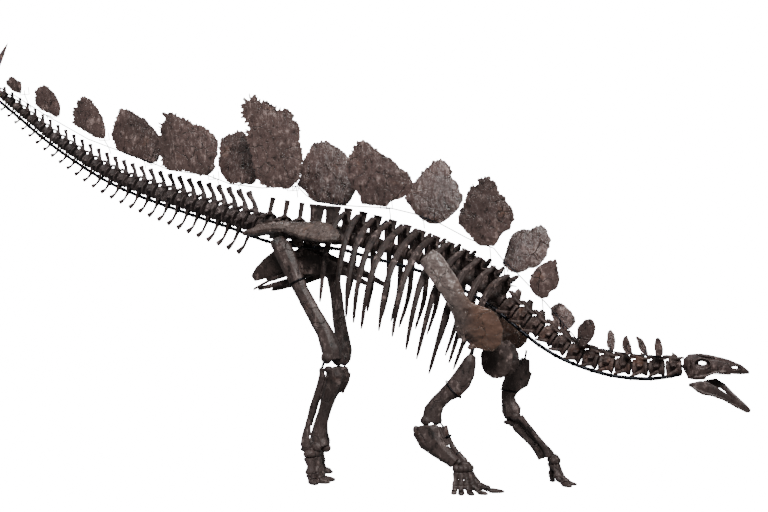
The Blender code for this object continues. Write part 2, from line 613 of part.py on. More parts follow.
def femur(side, label, material):
    """Thigh bone with a ball head turned in to the hip and a trochanter."""
    bm = bmesh.new()
    stations = FEMUR[side]
    skin(bm, bone_rings(stations, side, 8))
    x, z, long, wide, out = stations[1]
    face = nearest_face(bm, Vector((x - 0.010, side * (out - wide), z + 0.04)))
    head = Vector((HIP_SOCKET[0], side * HIP_SOCKET_OUT, HIP_SOCKET[1]))
    grow(bm, face, [rectangle(head, Vector((1.0, 0.0, 0.0)), Vector((0.0, 0.0, 1.0)), 0.024, 0.022)])
    return finish(bm, "femur_" + label, material)


def digit_rings(root, outward, reach, width, heel):
    """Metacarpal or metatarsal and toe, from the block down to a hoof on the ground.

    A heel greater than 0 lets the sole start that far behind the digit's root.
    """
    low, mid, toe = reach
    u = Vector((-outward.y, outward.x, 0.0))
    upright = Vector((0.0, 0.0, 1.0))
    height = root.z - GROUND
    rings = []
    for share, out, size in ((0.40, low * 0.6, 0.62), (0.70, low, 0.92)):
        centre = root + outward * out - upright * height * share
        rings.append(rectangle(centre, u, outward, width * size, width * size * 0.85))
    sole = Vector((root.x, root.y, GROUND))
    back = mid - 0.016 - heel
    for low_end, top_end, wide, thick in ((back, mid + 0.016, 0.80, 0.023),
                                          (mid + toe - 0.007, mid + toe + 0.007, 0.60, 0.010)):
        centre = sole + outward * (low_end + top_end) / 2 + upright * thick
        slope = outward * (top_end - low_end) / 2 / thick + upright
        rings.append(rectangle(centre, u, slope, width * wide, thick))
    return rings


def paw(name, centre, side, spread, turn, radius, block, reach, stride, heel, material):
    """Curved block of wrist or ankle bones that carries a fan of digits."""
    count = len(stride)
    x, z, out = centre
    middle = Vector((x - radius * BLOCK_BACK, side * out, z))
    upright = Vector((0.0, 0.0, 1.0))
    rings = []
    for k in range(count + 1):
        outward = fan(k / count, spread, turn)
        rings.append(rectangle(middle + outward * radius, outward, upright, block[0], block[1]))
    bm = bmesh.new()
    bands = skin(bm, rings)
    width = spread * radius / count / 2
    for k in range(count):
        under = min(bands[k], key=lambda face: face.calc_center_median().z)
        outward = fan((k + 0.5) / count, spread, turn)
        root = middle + outward * radius - upright * block[1]
        far = [length * stride[k] for length in reach]
        behind = heel if k == count // 2 else 0.0
        grow(bm, under, digit_rings(root, outward, far, width, behind))
    return finish(bm, name, material)


def fan(share, spread, turn):
    """Level direction at a share of a fan that opens forward, turned to one side."""
    angle = (share - 0.5) * spread + turn
    return Vector((math.cos(angle), math.sin(angle), 0.0))


def sternal(side, label, material):
    """Oval chest plate, thicker in the middle."""
    bm = bmesh.new()
    x, z = STERNAL_CENTRE
    half_x, half_z, half_y = STERNAL_HALF
    rings = []
    for offset, scale in ((-1.0, 0.45), (-0.4, 1.0), (0.4, 1.0), (1.0, 0.45)):
        centre = Vector((x, side * (STERNAL_OUT + offset * half_y), z))
        rings.append(ellipse(centre, Vector((1.0, 0.0, 0.0)), Vector((0.0, 0.0, 1.0)),
                             half_x * scale, half_z * scale, 12))
    skin(bm, rings)
    return finish(bm, "sternal_" + label, material)


# ---- hips -----------------------------------------------------------------------------------
def ilium(side, label, material):
    """Long hip blade whose front end flares out, with two stalks down to the socket."""
    bm = bmesh.new()
    rings = []
    for x, z, wide, thick, out, dip in ILIUM:
        centre = Vector((x, side * out, z))
        level, drop = math.cos(math.radians(dip)), side * math.sin(math.radians(dip))
        rings.append(ellipse(centre, Vector((0.0, level, -drop)), Vector((0.0, drop, level)),
                             wide, thick, 8))
    skin(bm, rings)
    for x, reach_x, bottom in ((0.085, 0.095, 1.548), (-0.025, -0.070, 1.560)):
        root = Vector((x, side * 0.160, 1.645))
        face = nearest_face(bm, root)
        foot = Vector((reach_x, side * 0.140, bottom))
        grow(bm, face, [rectangle(foot, Vector((1.0, 0.0, 0.0)), Vector((0.0, 1.0, 0.0)),
                                  0.026, 0.014)])
    return finish(bm, "ilium_" + label, material)


def blade_rings(stations, side):
    points = [Vector((x, side * out, z)) for x, z, tall, thick, out in stations]
    rings = []
    for k, (x, z, tall, thick, out) in enumerate(stations):
        ahead = points[min(k + 1, len(points) - 1)] - points[max(k - 1, 0)]
        u, v = across(ahead.normalized(), Vector((0.0, 1.0, 0.0)))
        rings.append(ellipse(points[k], u, v, thick, tall, 8))
    return rings


def pubis(side, label, material):
    """Deep front process with a thin rod that runs back under the ischium."""
    bm = bmesh.new()
    skin(bm, blade_rings(PUBIS, side))
    x, z, tall, thick, out = PUBIS[0]
    face = nearest_face(bm, Vector((x + 0.03, side * out, z - tall)))
    rings = []
    half = 0.012
    for x_rod, z_rod in PUBIC_ROD:
        centre = Vector((x_rod, side * (out - 0.040 * (x - x_rod)), z_rod))
        rings.append(rectangle(centre, Vector((0.2, 0.0, 1.0)).normalized(),
                               Vector((0.0, 1.0, 0.0)), half, half * 0.8))
        half -= 0.0015
    grow(bm, face, rings)
    return finish(bm, "pubis_" + label, material)


def ischium(side, label, material):
    bm = bmesh.new()
    skin(bm, blade_rings(ISCHIUM, side))
    return finish(bm, "ischium_" + label, material)


# ---- head -----------------------------------------------------------------------------------
def window_tool(spec):
    """Oval tool that cuts a window right through the head."""
    (x, z), (half_x, half_z) = spec
    bm = bmesh.new()
    rings = []
    for y in (-0.2, 0.2):
        rings.append(ellipse(Vector((x, y, z)), Vector((1.0, 0.0, 0.0)),
                             Vector((0.0, 0.0, 1.0)), half_x, half_z, 12))
    skin(bm, rings)
    tool = finish(bm, "window_tool", None)
    return tool


def skull(material):
    """Low, narrow head that tapers to a beak, open through the eye, nose and cheek windows."""
    bm = bmesh.new()
    rings = []
    for x, top, bottom, wide in SKULL:
        shape = ((0.55, 1.0), (0.95, 0.55), (1.0, -0.2), (0.80, -1.0), (-0.80, -1.0), (-1.0, -0.2),
                 (-0.95, 0.55), (-0.55, 1.0))
        middle = (top + bottom) / 2
        half = (top - bottom) / 2
        rings.append([Vector((x, wide * y, middle + half * z)) for y, z in shape])
    skin(bm, rings)
    part = finish(bm, "skull", material)
    for spec in (ORBIT, NARIS, TEMPORAL):
        boolean(part, window_tool(spec), "DIFFERENCE")
    return part


def mandible(material):
    """Two jaw rami that meet in a scooped beak."""
    rings = []
    for x, z, tall, out in JAW:
        rings.append(jaw_ring(x, z, tall, -out))
    tip_x, tip_z, tip_tall = JAW_TIP
    rings.append(jaw_ring(tip_x, tip_z, tip_tall, 0.0))
    for x, z, tall, out in reversed(JAW):
        rings.append(jaw_ring(x, z, tall, out))
    bm = bmesh.new()
    skin(bm, rings)
    return finish(bm, "mandible", material)


def jaw_ring(x, z, tall, y):
    """Upright section of the jaw; at the tip it stands square to the midline."""
    inward = Vector((-1.0, 0.0, 0.0))
    if y != 0.0:
        inward = Vector((-0.2, -math.copysign(1.0, y), 0.0)).normalized()
    return ellipse(Vector((x, y, z)), inward, Vector((0.0, 0.0, 1.0)), JAW_THICK, tall, 6)


# ---- armour ---------------------------------------------------------------------------------
def plate_outline(height, behind, ahead, steps):
    """Closed outline in (forward, up), smoothed through the given edge offsets."""
    rear = [(-b / 1000, height * t) for t, b in zip(PLATE_LEVELS, behind)]
    front = [(a / 1000, height * t) for t, a in zip(PLATE_LEVELS, ahead)]
    base = ((front[0][0] + rear[0][0]) / 2, 0.0)
    points = [base] + front + [(0.0, height)] + rear[::-1]
    count = len(points)
    outline = []
    for k in range(count):
        corners = [Vector(points[(k + j) % count]) for j in (-1, 0, 1, 2)]
        for step in range(steps):
            outline.append(catmull(*corners, step / steps))
    return outline


def plate(index, spec, material):
    """Upright armour plate, lens-thick, in one of the two rows."""
    x, z, height, lean, behind, ahead = spec
    side = RIGHT if index % 2 == 1 else LEFT
    angle = math.radians(lean)
    up = Vector((math.sin(angle), 0.0, math.cos(angle)))
    forward = Vector((math.cos(angle), 0.0, -math.sin(angle)))
    up = (up * math.cos(PLATE_SPLAY) + Vector((0.0, side * math.sin(PLATE_SPLAY), 0.0))).normalized()
    normal = forward.cross(up)
    root = Vector((x, side * PLATE_OUT, z))
    outline = plate_outline(height, behind, ahead, 2 if height > PLATE_FINE_HEIGHT else 1)
    middle = sum(outline, Vector((0.0, 0.0))) / len(outline)
    bm = bmesh.new()
    loops = []
    for offset in (-PLATE_EDGE, PLATE_EDGE):
        loops.append([bm.verts.new(root + forward * a + up * b + normal * offset)
                      for a, b in outline])
    half = height * PLATE_THICK_SHARE + PLATE_EDGE
    hubs = [bm.verts.new(root + forward * middle.x + up * middle.y * 0.85 + normal * offset)
            for offset in (-half, half)]
    count = len(outline)
    for k in range(count):
        nxt = (k + 1) % count
        bm.faces.new((loops[0][k], loops[0][nxt], loops[1][nxt], loops[1][k]))
        bm.faces.new((loops[0][nxt], loops[0][k], hubs[0]))
        bm.faces.new((loops[1][k], loops[1][nxt], hubs[1]))
    return finish(bm, f"plate_{index:02d}", material, smooth=False)


def spike(name, spec, side, material):
    (x, out, z), (tip_x, tip_out, tip_z), radius = spec
    base = Vector((x, side * out, z))
    tip = Vector((tip_x, side * tip_out, tip_z))
    axis = (tip - base).normalized()
    u, v = across(axis, Vector((1.0, 0.0, 0.0)))
    rings = []
    for share, scale in ((0.0, 0.80), (0.07, 1.0), (0.35, 0.72), (0.70, 0.42), (1.0, 0.07)):
        rings.append(ellipse(base.lerp(tip, share), u, v, radius * scale, radius * scale * 0.85, 8))
    bm = bmesh.new()
    skin(bm, rings)
    return finish(bm, name, material)


# ---- steelwork ------------------------------------------------------------------------------
def bar_path():
    """Bar under the tail, through the chest and up the neck."""
    run = tail_run()
    points = []
    steps = 14
    for k in range(steps):
        place = TAIL_TIP_SHARE * (1.0 - k / steps)
        centre, along, side, up = run.frame(place * TAIL_COUNT)
        points.append(centre - up * (tail_radius(place) * 0.85 + BAR_DROP))
    return points + [Vector((x, 0.0, z)) for x, z in BAR_TRUNK]


def bar_rings(radius, sides):
    points = bar_path()
    rings = []
    for k, point in enumerate(points):
        ahead = points[min(k + 1, len(points) - 1)] - points[max(k - 1, 0)]
        u, v = across(ahead.normalized(), Vector((0.0, 1.0, 0.0)))
        rings.append(ellipse(point, u, v, radius, radius, sides))
    return rings


def support_bar(material):
    bm = bmesh.new()
    skin(bm, bar_rings(BAR_RADIUS, 6))
    return finish(bm, "support_bar", material)


def bar_tool():
    bm = bmesh.new()
    skin(bm, bar_rings(BAR_RADIUS + BAR_CLEAR, 4))
    return finish(bm, "bar_tool", None)


def along_line(points, x):
    """Height of a broken line of (x, z) points at x."""
    for (ax, az), (bx, bz) in zip(points, points[1:]):
        if x <= bx:
            return blend((az, bz), max(0.0, (x - ax) / (bx - ax)))
    return points[-1][1]


def plate_foot(index):
    x, z = PLATES[index - 1][:2]
    behind, ahead = PLATES[index - 1][4:]
    return x + (ahead[0] - behind[0]) / 2000, z - WIRE_DROP


def wire_stations():
    """Places along the wire, with the short bays that carry posts and brackets marked."""
    feet = [plate_foot(index) for index in range(1, len(PLATES) + 1)]
    line = [foot for foot in feet[::2]]
    stations = []
    for index, (x, z) in enumerate(feet, 1):
        stations.append((x - WIRE_RADIUS, along_line(line, x), 0))
        stations.append((x + WIRE_RADIUS, along_line(line, x), index))
    return stations


def plate_wires(material):
    """Wire under the right-hand row, with posts to the spines and brackets to the left."""
    stations = wire_stations()
    side = Vector((0.0, 1.0, 0.0))
    upright = Vector((0.0, 0.0, 1.0))
    rings = []
    for x, z, index in stations:
        rings.append(rectangle(Vector((x, RIGHT * WIRE_OUT, z)), side, upright,
                               WIRE_RADIUS, WIRE_RADIUS))
    bm = bmesh.new()
    bands = skin(bm, rings)
    forward = Vector((1.0, 0.0, 0.0))
    for band, (x, z, index) in zip(bands, stations[1:]):
        if index == 0:
            continue
        face = max(band, key=lambda f: f.calc_center_median().y)
        foot_x, foot_z = plate_foot(index)
        if index % 2 == 0:
            end = Vector((foot_x, WIRE_OUT, foot_z))
        else:
            end = Vector((foot_x, RIGHT * SPINE_SIDE, along_line(BACK_LINE, foot_x) - POST_DROP))
        grow(bm, face, [rectangle(end, forward, upright, WIRE_RADIUS, WIRE_RADIUS)])
    return finish(bm, "plate_wires", material, smooth=False)


# ---- assembly -------------------------------------------------------------------------------
def clear_scene():
    for item in list(bpy.data.objects):
        bpy.data.objects.remove(item)


def build_armour(plate_bone, spike_bone):
    parts = [plate(index, spec, plate_bone) for index, spec in enumerate(PLATES, 1)]
    for pair, spec in enumerate(SPIKES, 1):
        for side, label in SIDES:
            parts.append(spike(f"tail_spike_{pair}_{label}", spec, side, spike_bone))
    return parts


def build_column(bone_dark, bone_rust):
    parts = [tail_section("tail_base", 0, TAIL_BASE_COUNT, bone_rust),
             tail_section("tail_middle", TAIL_BASE_COUNT, TAIL_MIDDLE_COUNT, bone_dark),
             tail_section("tail_end", TAIL_MIDDLE_COUNT, TAIL_COUNT, bone_dark)]
    for part in parts:
        boolean(part, bar_tool(), "DIFFERENCE")
    parts.append(sacrum(bone_dark))
    parts.append(neck(bone_dark))
    for side, label in SIDES:
        parts.append(trunk_half(side, label, bone_dark))
    return parts


def build_limbs(bone_dark, bone_rust):
    parts = []
    for side, label in SIDES:
        parts.append(femur(side, label, bone_dark))
        parts.append(bone("tibia_" + label, TIBIA[side], side, bone_dark))
        parts.append(bone("fibula_" + label, FIBULA[side], side, bone_dark, 6))
        parts.append(paw("foot_" + label, ANKLE[side], side, FOOT_SPREAD, 0.0,
                         FOOT_RADIUS, FOOT_BLOCK, FOOT_REACH, FOOT_STRIDE[side], FOOT_HEEL,
                         bone_dark))
        parts.append(bone("humerus_" + label, HUMERUS[side], side, bone_dark))
        parts.append(bone("ulna_" + label, ULNA[side], side, bone_dark, 6))
        parts.append(bone("radius_" + label, RADIUS[side], side, bone_dark, 6))
        parts.append(paw("hand_" + label, WRIST[side], side, HAND_SPREAD, HAND_TURN[side],
                         HAND_RADIUS, HAND_BLOCK, HAND_REACH, HAND_STRIDE[side], 0.0, bone_dark))
        shift = FAR_SHOULDER_SHIFT if side == LEFT else 0.0
        parts.append(bone("scapula_" + label, shifted(SCAPULA, shift), side, bone_rust))
        parts.append(sternal(side, label, bone_dark))
    return parts


def build_hips(bone_dark, bone_rust):
    parts = []
    for side, label in SIDES:
        parts.append(ilium(side, label, bone_dark))
        parts.append(pubis(side, label, bone_rust))
        parts.append(ischium(side, label, bone_rust))
    return parts


def build():
    clear_scene()
    plate_bone = make_material("plate_bone", (0.095, 0.066, 0.062), 0.62)
    spike_bone = make_material("spike_bone", (0.080, 0.057, 0.052), 0.55)
    bone_dark = make_material("bone_dark", (0.052, 0.037, 0.032), 0.50)
    bone_rust = make_material("bone_rust", (0.115, 0.056, 0.036), 0.55)
    head_bone = make_material("head_bone", (0.070, 0.050, 0.043), 0.52)
    steel = make_material("steel", (0.120, 0.130, 0.145), 0.38, 0.9)
    collection = bpy.data.collections.new("stegosaurus_skeleton")
    bpy.context.scene.collection.children.link(collection)
    parts = build_armour(plate_bone, spike_bone)
    parts += build_column(bone_dark, bone_rust)
    parts += build_hips(bone_dark, bone_rust)
    parts += build_limbs(bone_dark, bone_rust)
    parts += [skull(head_bone), mandible(head_bone), support_bar(steel), plate_wires(steel)]
    for part in parts:
        bpy.context.scene.collection.objects.unlink(part)
        collection.objects.link(part)
        part.data.transform(Matrix.Translation(-CENTRE))


build()
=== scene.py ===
import math

import bmesh
import bpy
import numpy as np
from mathutils import Matrix, Vector, noise


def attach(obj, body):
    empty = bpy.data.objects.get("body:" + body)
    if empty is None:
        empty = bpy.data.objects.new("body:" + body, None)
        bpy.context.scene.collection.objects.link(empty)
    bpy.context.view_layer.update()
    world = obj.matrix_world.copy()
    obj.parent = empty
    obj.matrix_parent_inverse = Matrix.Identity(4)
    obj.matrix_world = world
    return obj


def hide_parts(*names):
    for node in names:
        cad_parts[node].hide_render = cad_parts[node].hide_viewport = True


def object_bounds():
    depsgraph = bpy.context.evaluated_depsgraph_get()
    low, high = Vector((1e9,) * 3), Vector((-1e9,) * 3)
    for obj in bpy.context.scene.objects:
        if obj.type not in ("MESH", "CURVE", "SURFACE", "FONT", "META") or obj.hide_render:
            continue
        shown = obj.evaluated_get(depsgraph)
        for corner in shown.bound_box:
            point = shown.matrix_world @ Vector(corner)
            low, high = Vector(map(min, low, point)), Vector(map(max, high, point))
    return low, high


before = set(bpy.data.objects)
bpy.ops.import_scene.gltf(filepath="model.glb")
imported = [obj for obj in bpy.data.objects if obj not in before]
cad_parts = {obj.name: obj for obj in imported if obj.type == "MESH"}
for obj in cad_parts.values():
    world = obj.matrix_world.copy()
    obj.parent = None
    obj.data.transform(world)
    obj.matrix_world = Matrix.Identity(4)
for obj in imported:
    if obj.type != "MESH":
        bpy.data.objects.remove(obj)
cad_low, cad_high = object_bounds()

# ---- layout ---------------------------------------------------------------------------------
# Places are written with X forward to the head, Y to the animal's left and Z up, and the whole
# layout is then moved by SHIFT into the part's own frame.
SHIFT = Vector((0.100, 0.0, -0.025))
AHEAD = Vector((1.0, 0.0, 0.0))
SIDE = Vector((0.0, 1.0, 0.0))
UP = Vector((0.0, 0.0, 1.0))
LEFT, RIGHT = 1, -1
SIDES = ((RIGHT, "right"), (LEFT, "left"))
GROUND = 0.025
INSET = 0.0002                 # how far inside the part's box every surface stays

COLUMN_LINE = ((2.512, 0.800), (2.379, 0.793), (2.202, 0.796), (2.023, 0.824), (1.854, 0.886),
               (1.687, 0.995), (1.531, 1.105), (1.430, 1.180), (1.307, 1.256), (1.151, 1.348),
               (0.992, 1.417), (0.823, 1.478), (0.632, 1.537), (0.443, 1.582), (0.310, 1.606),
               (0.180, 1.621), (0.070, 1.637), (-0.040, 1.654), (-0.150, 1.676), (-0.270, 1.705),
               (-0.470, 1.765), (-0.720, 1.842), (-1.000, 1.932), (-1.280, 2.030),
               (-1.510, 2.135), (-1.745, 2.270), (-1.970, 2.415), (-2.180, 2.570),
               (-2.385, 2.720), (-2.580, 2.855), (-2.770, 2.955), (-2.930, 3.010))
NECK_FROM, TRUNK_FROM, SACRUM_FROM, TAIL_FROM = 2.508, 1.430, 0.310, -0.268
NECK_COUNT, TRUNK_COUNT, SACRUM_COUNT, TAIL_COUNT = 12, 12, 5, 36
TAIL_RUNS = (("tail_base", 0, 12), ("tail_middle", 12, 24), ("tail_end", 24, 36))
TAIL_RADIUS = (0.068, 0.023)
TAIL_SPINE = (0.205, 0.034)
TAIL_LEAN = (0.46, 0.22)
TAIL_CHEVRON = (0.165, 0.040)
CHEVRON_LAST = 28
TAIL_PROCESS_COUNT = 7
TAIL_PROCESS = 0.060
SACRUM_RADIUS = 0.055
SACRUM_SPINE = 0.205
SACRAL_RIB = 0.118
SACRUM_SPOOL = ((-0.50, 0.92), (-0.36, 0.98), (0.0, 0.84), (0.36, 0.98), (0.50, 0.92))
FUSED_SPINES = 2
TRUNK_RADIUS = 0.047
TRUNK_SPINE = (0.150, 0.205)
NECK_RADIUS = (0.046, 0.058)
NECK_SPINE = (0.060, 0.125)

RIB_TOP_OUT = 0.120
RIB_TOP_RISE = 0.165
RIB_END_X = (1.210, 1.135, 1.020, 0.953, 0.895, 0.811, 0.726, 0.610, 0.555, 0.500, 0.410, 0.280)
RIB_END_Z = (0.900, 0.804, 0.739, 0.828, 0.885, 0.964, 1.000, 1.012, 1.050, 1.085, 1.117, 1.180)
RIB_BULGE = (0.190, 0.235, 0.290, 0.335, 0.372, 0.392, 0.400, 0.400, 0.390, 0.370, 0.305, 0.255)
RIB_DROP = (0.0, 0.13, 0.36, 0.68, 1.00)
RIB_OUT = (0.0, 0.40, 0.82, 1.00, 0.84)
RIB_BACK = (0.0, 0.30, 0.53, 0.74, 1.00)
RIB_WIDTH = (0.0170, 0.0240, 0.0235, 0.0190, 0.0100)
RIB_DEPTH = (0.009, 0.0105, 0.0085, 0.0070, 0.0055)

# plate rows: lowest point x and z, lean in degrees, outline (forward, up) in mm
PLATES = (
    ((-2.20, 2.69, -6), ((-52, 118), (-2, 146), (37, 117), (78, 81), (61, 7), (-20, 50),
      (-54, 104))),
    ((-2.07, 2.54, -13), ((-85, 253), (-46, 274), (10, 281), (59, 237), (111, 148), (133, 70),
      (121, 10), (88, -4), (34, 36), (-41, 90), (-80, 143))),
    ((-1.56, 2.32, -6), ((-95, 244), (-65, 274), (-24, 317), (21, 331), (58, 304), (86, 278),
      (121, 215), (147, 147), (158, 71), (144, 13), (109, 4), (51, 27), (7, 59), (-53, 101),
      (-115, 154), (-97, 187))),
    ((-1.23, 2.15, -23), ((-185, 366), (-74, 512), (-22, 502), (21, 468), (83, 378), (117, 344),
      (158, 252), (188, 155), (146, 28), (109, -6), (51, 6), (-10, 65), (-65, 116), (-169, 217))),
    ((-0.66, 2.01, -27), ((14, 517), (-14, 505), (-31, 484), (-75, 454), (-118, 408), (-152, 356),
      (-175, 294), (-189, 216), (-169, 181), (-7, 71), (6, 41), (42, 13), (102, 6), (133, 24),
      (163, 77), (199, 95), (229, 140), (240, 173), (242, 230), (218, 270), (187, 320),
      (156, 341), (116, 399), (85, 436), (55, 481))),
    ((-0.47, 1.99, -5), ((-165, 294), (-148, 350), (-93, 386), (-53, 395), (-6, 402), (33, 386),
      (101, 314), (138, 201), (143, 93), (126, 10), (87, -3), (3, 12), (-83, 26), (-136, 94),
      (-167, 170))),
    ((-0.07, 1.91, -15), ((-15, 690), (29, 672), (56, 638), (107, 597), (172, 541), (225, 507),
      (254, 459), (266, 404), (276, 342), (252, 302), (247, 228), (229, 158), (200, 92),
      (149, 25), (99, 6), (49, -6), (20, 20), (-76, 49), (-106, 76), (-128, 124), (-133, 230),
      (-122, 311), (-122, 464), (-105, 493), (-117, 563), (-105, 601), (-78, 659))),
    ((0.20, 1.82, -5), ((-36, 464), (-104, 445), (-135, 396), (-166, 365), (-190, 305),
      (-207, 230), (-230, 197), (-209, 170), (-162, 119), (-115, 60), (-14, 27), (106, -1),
      (138, 9), (173, 56), (195, 88), (176, 235), (146, 326), (112, 373), (72, 403), (19, 442))),
    ((0.63, 1.77, -13), ((-44, 458), (-8, 472), (36, 453), (82, 403), (116, 351), (175, 298),
      (208, 243), (239, 205), (262, 172), (272, 120), (267, 92), (211, 38), (161, 32), (126, 31),
      (83, 26), (63, 5), (22, 19), (-84, 57), (-101, 74), (-99, 120), (-118, 152), (-134, 186),
      (-149, 234), (-143, 306), (-109, 377), (-66, 431))),
    ((0.89, 1.70, 12), ((-12, 421), (-49, 401), (-71, 363), (-107, 322), (-133, 270), (-154, 229),
      (-186, 127), (-139, 85), (-90, 43), (-37, 16), (12, -2), (57, 0), (98, 17), (140, 56),
      (168, 98), (194, 146), (201, 215), (172, 236), (136, 297), (102, 311), (73, 374),
      (32, 411))),
    ((1.33, 1.52, 3), ((-83, 395), (-57, 402), (-45, 427), (-13, 440), (16, 446), (57, 416),
      (77, 392), (96, 349), (135, 307), (161, 264), (183, 222), (194, 179), (175, 148),
      (169, 117), (132, 97), (107, 72), (95, 41), (64, 9), (6, 4), (-39, 11), (-71, 42),
      (-111, 78), (-163, 139), (-173, 170), (-164, 214), (-133, 289), (-102, 358))),
    ((1.47, 1.36, 26), ((0, 348), (42, 350), (74, 329), (120, 287), (131, 215), (134, 167),
      (112, 100), (77, 70), (40, 31), (-2, 0), (-46, 3), (-93, 24), (-108, 66), (-125, 158),
      (-131, 212), (-114, 249), (-85, 276), (-43, 292))),
    ((1.69, 1.20, 19), ((-25, 239), (14, 258), (38, 221), (69, 162), (76, 100), (40, 49),
      (35, 22), (-3, -1), (-45, 7), (-87, 38), (-104, 71), (-106, 122), (-88, 167))),
    ((1.76, 1.00, 3), ((-74, 140), (-44, 167), (-13, 181), (26, 158), (66, 122), (95, 67),
      (73, 29), (30, 4), (-22, 29), (-57, 78))),
    ((1.94, 0.91, 17), ((-61, 87), (-53, 127), (-21, 169), (15, 174), (45, 133), (46, 83),
      (29, 33), (-1, 4), (-38, 24))),
    ((2.07, 0.88, 1), ((-26, 66), (-18, 122), (0, 131), (25, 98), (30, 37), (16, -1), (-2, -4),
      (-22, 29))),
    ((2.21, 0.86, -5), ((-34, 67), (-14, 113), (4, 120), (17, 81), (24, 14), (8, 4), (-19, 18))),
    ((2.28, 0.85, -22), ((-12, 130), (0, 129), (27, 89), (28, 43), (18, 1), (-6, 7), (-17, 60))),
    ((2.39, 0.86, -1), ((-30, 66), (-17, 107), (-2, 113), (11, 83), (23, 24), (13, 4), (-21, 7))),
)
PLATE_OUT = 0.105
PLATE_SPLAY = math.radians(7)
PLATE_RIM = 0.0024             # half thickness at the rim
PLATE_SWELL = 0.034            # extra half thickness inside, as a share of the height

BAR_RADIUS = 0.0115
BAR_DROP = 0.021
BAR_TRUNK = ((-0.180, 1.586), (0.100, 1.548), (0.323, 1.530), (0.535, 1.472), (0.742, 1.420),
             (0.930, 1.360), (1.150, 1.265), (1.330, 1.165), (1.455, 1.068), (1.562, 0.980),
             (1.655, 0.910), (1.779, 0.838), (1.932, 0.777), (2.095, 0.735), (2.261, 0.720),
             (2.378, 0.727), (2.500, 0.752))
BAR_REACH = 0.90
WIRE_RADIUS = 0.0034
WIRE_OUT = 0.078
WIRE_LIFT = 0.010
POST_DROP = 0.012
BACK_LINE = ((-2.40, 2.790), (-2.16, 2.640), (-1.62, 2.340), (-1.25, 2.165), (-0.89, 2.060),
             (-0.46, 1.970), (0.00, 1.900), (0.34, 1.805), (0.85, 1.690), (1.18, 1.545),
             (1.43, 1.350), (1.70, 1.070), (1.95, 0.920), (2.45, 0.855))

CAMERA_PLACE = (3.293648, -7.038906, 1.105)
CAMERA_LENS = 54.14
CAMERA_TURN = (math.radians(92.677), 0.0, math.radians(20.0))


# ---- shader maths ---------------------------------------------------------------------------
# numbers of a Mix node's sockets for its factor, its two colours and the mixed colour
MIX_SHARE, MIX_FIRST, MIX_SECOND, MIX_COLOUR = 0, 6, 7, 2


class Signal:
    """A socket that can be used in sums; each operator adds a Math node."""

    def __init__(self, finish, socket):
        self.finish = finish
        self.socket = socket

    def _sum(self, operation, first, second):
        node = self.finish.node("ShaderNodeMath", {"operation": operation}, {0: first, 1: second})
        return node("Value")

    def __add__(self, other):
        return self._sum("ADD", self, other)

    def __radd__(self, other):
        return self._sum("ADD", other, self)

    def __sub__(self, other):
        return self._sum("SUBTRACT", self, other)

    def __rsub__(self, other):
        return self._sum("SUBTRACT", other, self)

    def __mul__(self, other):
        return self._sum("MULTIPLY", self, other)

    def __rmul__(self, other):
        return self._sum("MULTIPLY", other, self)


class Finish:
    """A node material in the making."""

    def __init__(self, name):
        self.material = bpy.data.materials.new(name)
        self.material.use_nodes = True
        self.tree = self.material.node_tree
        self.shader = self.tree.nodes["Principled BSDF"]
        self.place = self.node("ShaderNodeTexCoord")("Object")

    def node(self, kind, settings=None, sockets=None):
        """Add a node, set it up, feed its sockets, and return a getter for its outputs."""
        made = self.tree.nodes.new(kind)
        for name, value in (settings or {}).items():
            if name == "stops":
                self._stops(made.color_ramp, value)
            else:
                setattr(made, name, value)
        for name, value in (sockets or {}).items():
            self._feed(made.inputs[name], value)
        return lambda name: Signal(self, made.outputs[name])

    def _feed(self, socket, value):
        if isinstance(value, Signal):
            self.tree.links.new(value.socket, socket)
        else:
            socket.default_value = value

    def _stops(self, ramp, stops):
        while len(ramp.elements) < len(stops):
            ramp.elements.new(0.5)
        for element, (position, colour) in zip(ramp.elements, stops):
            element.position = position
            element.color = (*colour, 1.0)

    def set(self, **values):
        for name, value in values.items():
            self._feed(self.shader.inputs[name.replace("_", " ")], value)

    def noise(self, scale, detail=4.0, roughness=0.55, place=None, warp=0.0):
        """Value noise, from 0 to 1."""
        node = self.node("ShaderNodeTexNoise", None,
                         {"Vector": place or self.place, "Scale": scale, "Detail": detail,
                          "Roughness": roughness, "Distortion": warp})
        return node("Fac")

    def stretched(self, x, y, z):
        """Object coordinates scaled differently along each axis."""
        return self.node("ShaderNodeMapping", None,
                         {"Vector": self.place, "Scale": (x, y, z)})("Vector")

    def ramp(self, value, *stops):
        return self.node("ShaderNodeValToRGB", {"stops": stops}, {"Fac": value})("Color")

    def band(self, value, low, high):
        """0 below low, 1 above high."""
        return self.node("ShaderNodeMapRange", {"interpolation_type": "SMOOTHSTEP"},
                         {"Value": value, "From Min": low, "From Max": high})("Result")

    def mix(self, share, first, second, kind="MIX"):
        """Two colours mixed; a Mix node names its colour sockets by number only."""
        node = self.node("ShaderNodeMix", {"data_type": "RGBA", "blend_type": kind},
                         {MIX_SHARE: share, MIX_FIRST: first, MIX_SECOND: second})
        return node(MIX_COLOUR)

    def bump(self, height, distance):
        return self.node("ShaderNodeBump", None,
                         {"Strength": 1.0, "Distance": distance, "Height": height})("Normal")


def grey(value):
    return (value, value, value)


def opaque(colour):
    return (*colour, 1.0)


# noise scales in waves per metre, from broad clouds to fine grit
BROAD, DRIFT, MOTTLE, GRIT = 2.6, 7.5, 24.0, 150.0
PIT_SCALE = 95.0
CRACK_SCALE = 8.5
WANDER_SCALE = 11.0
WANDER = 0.10                  # how far the cracks are pulled off their straight course


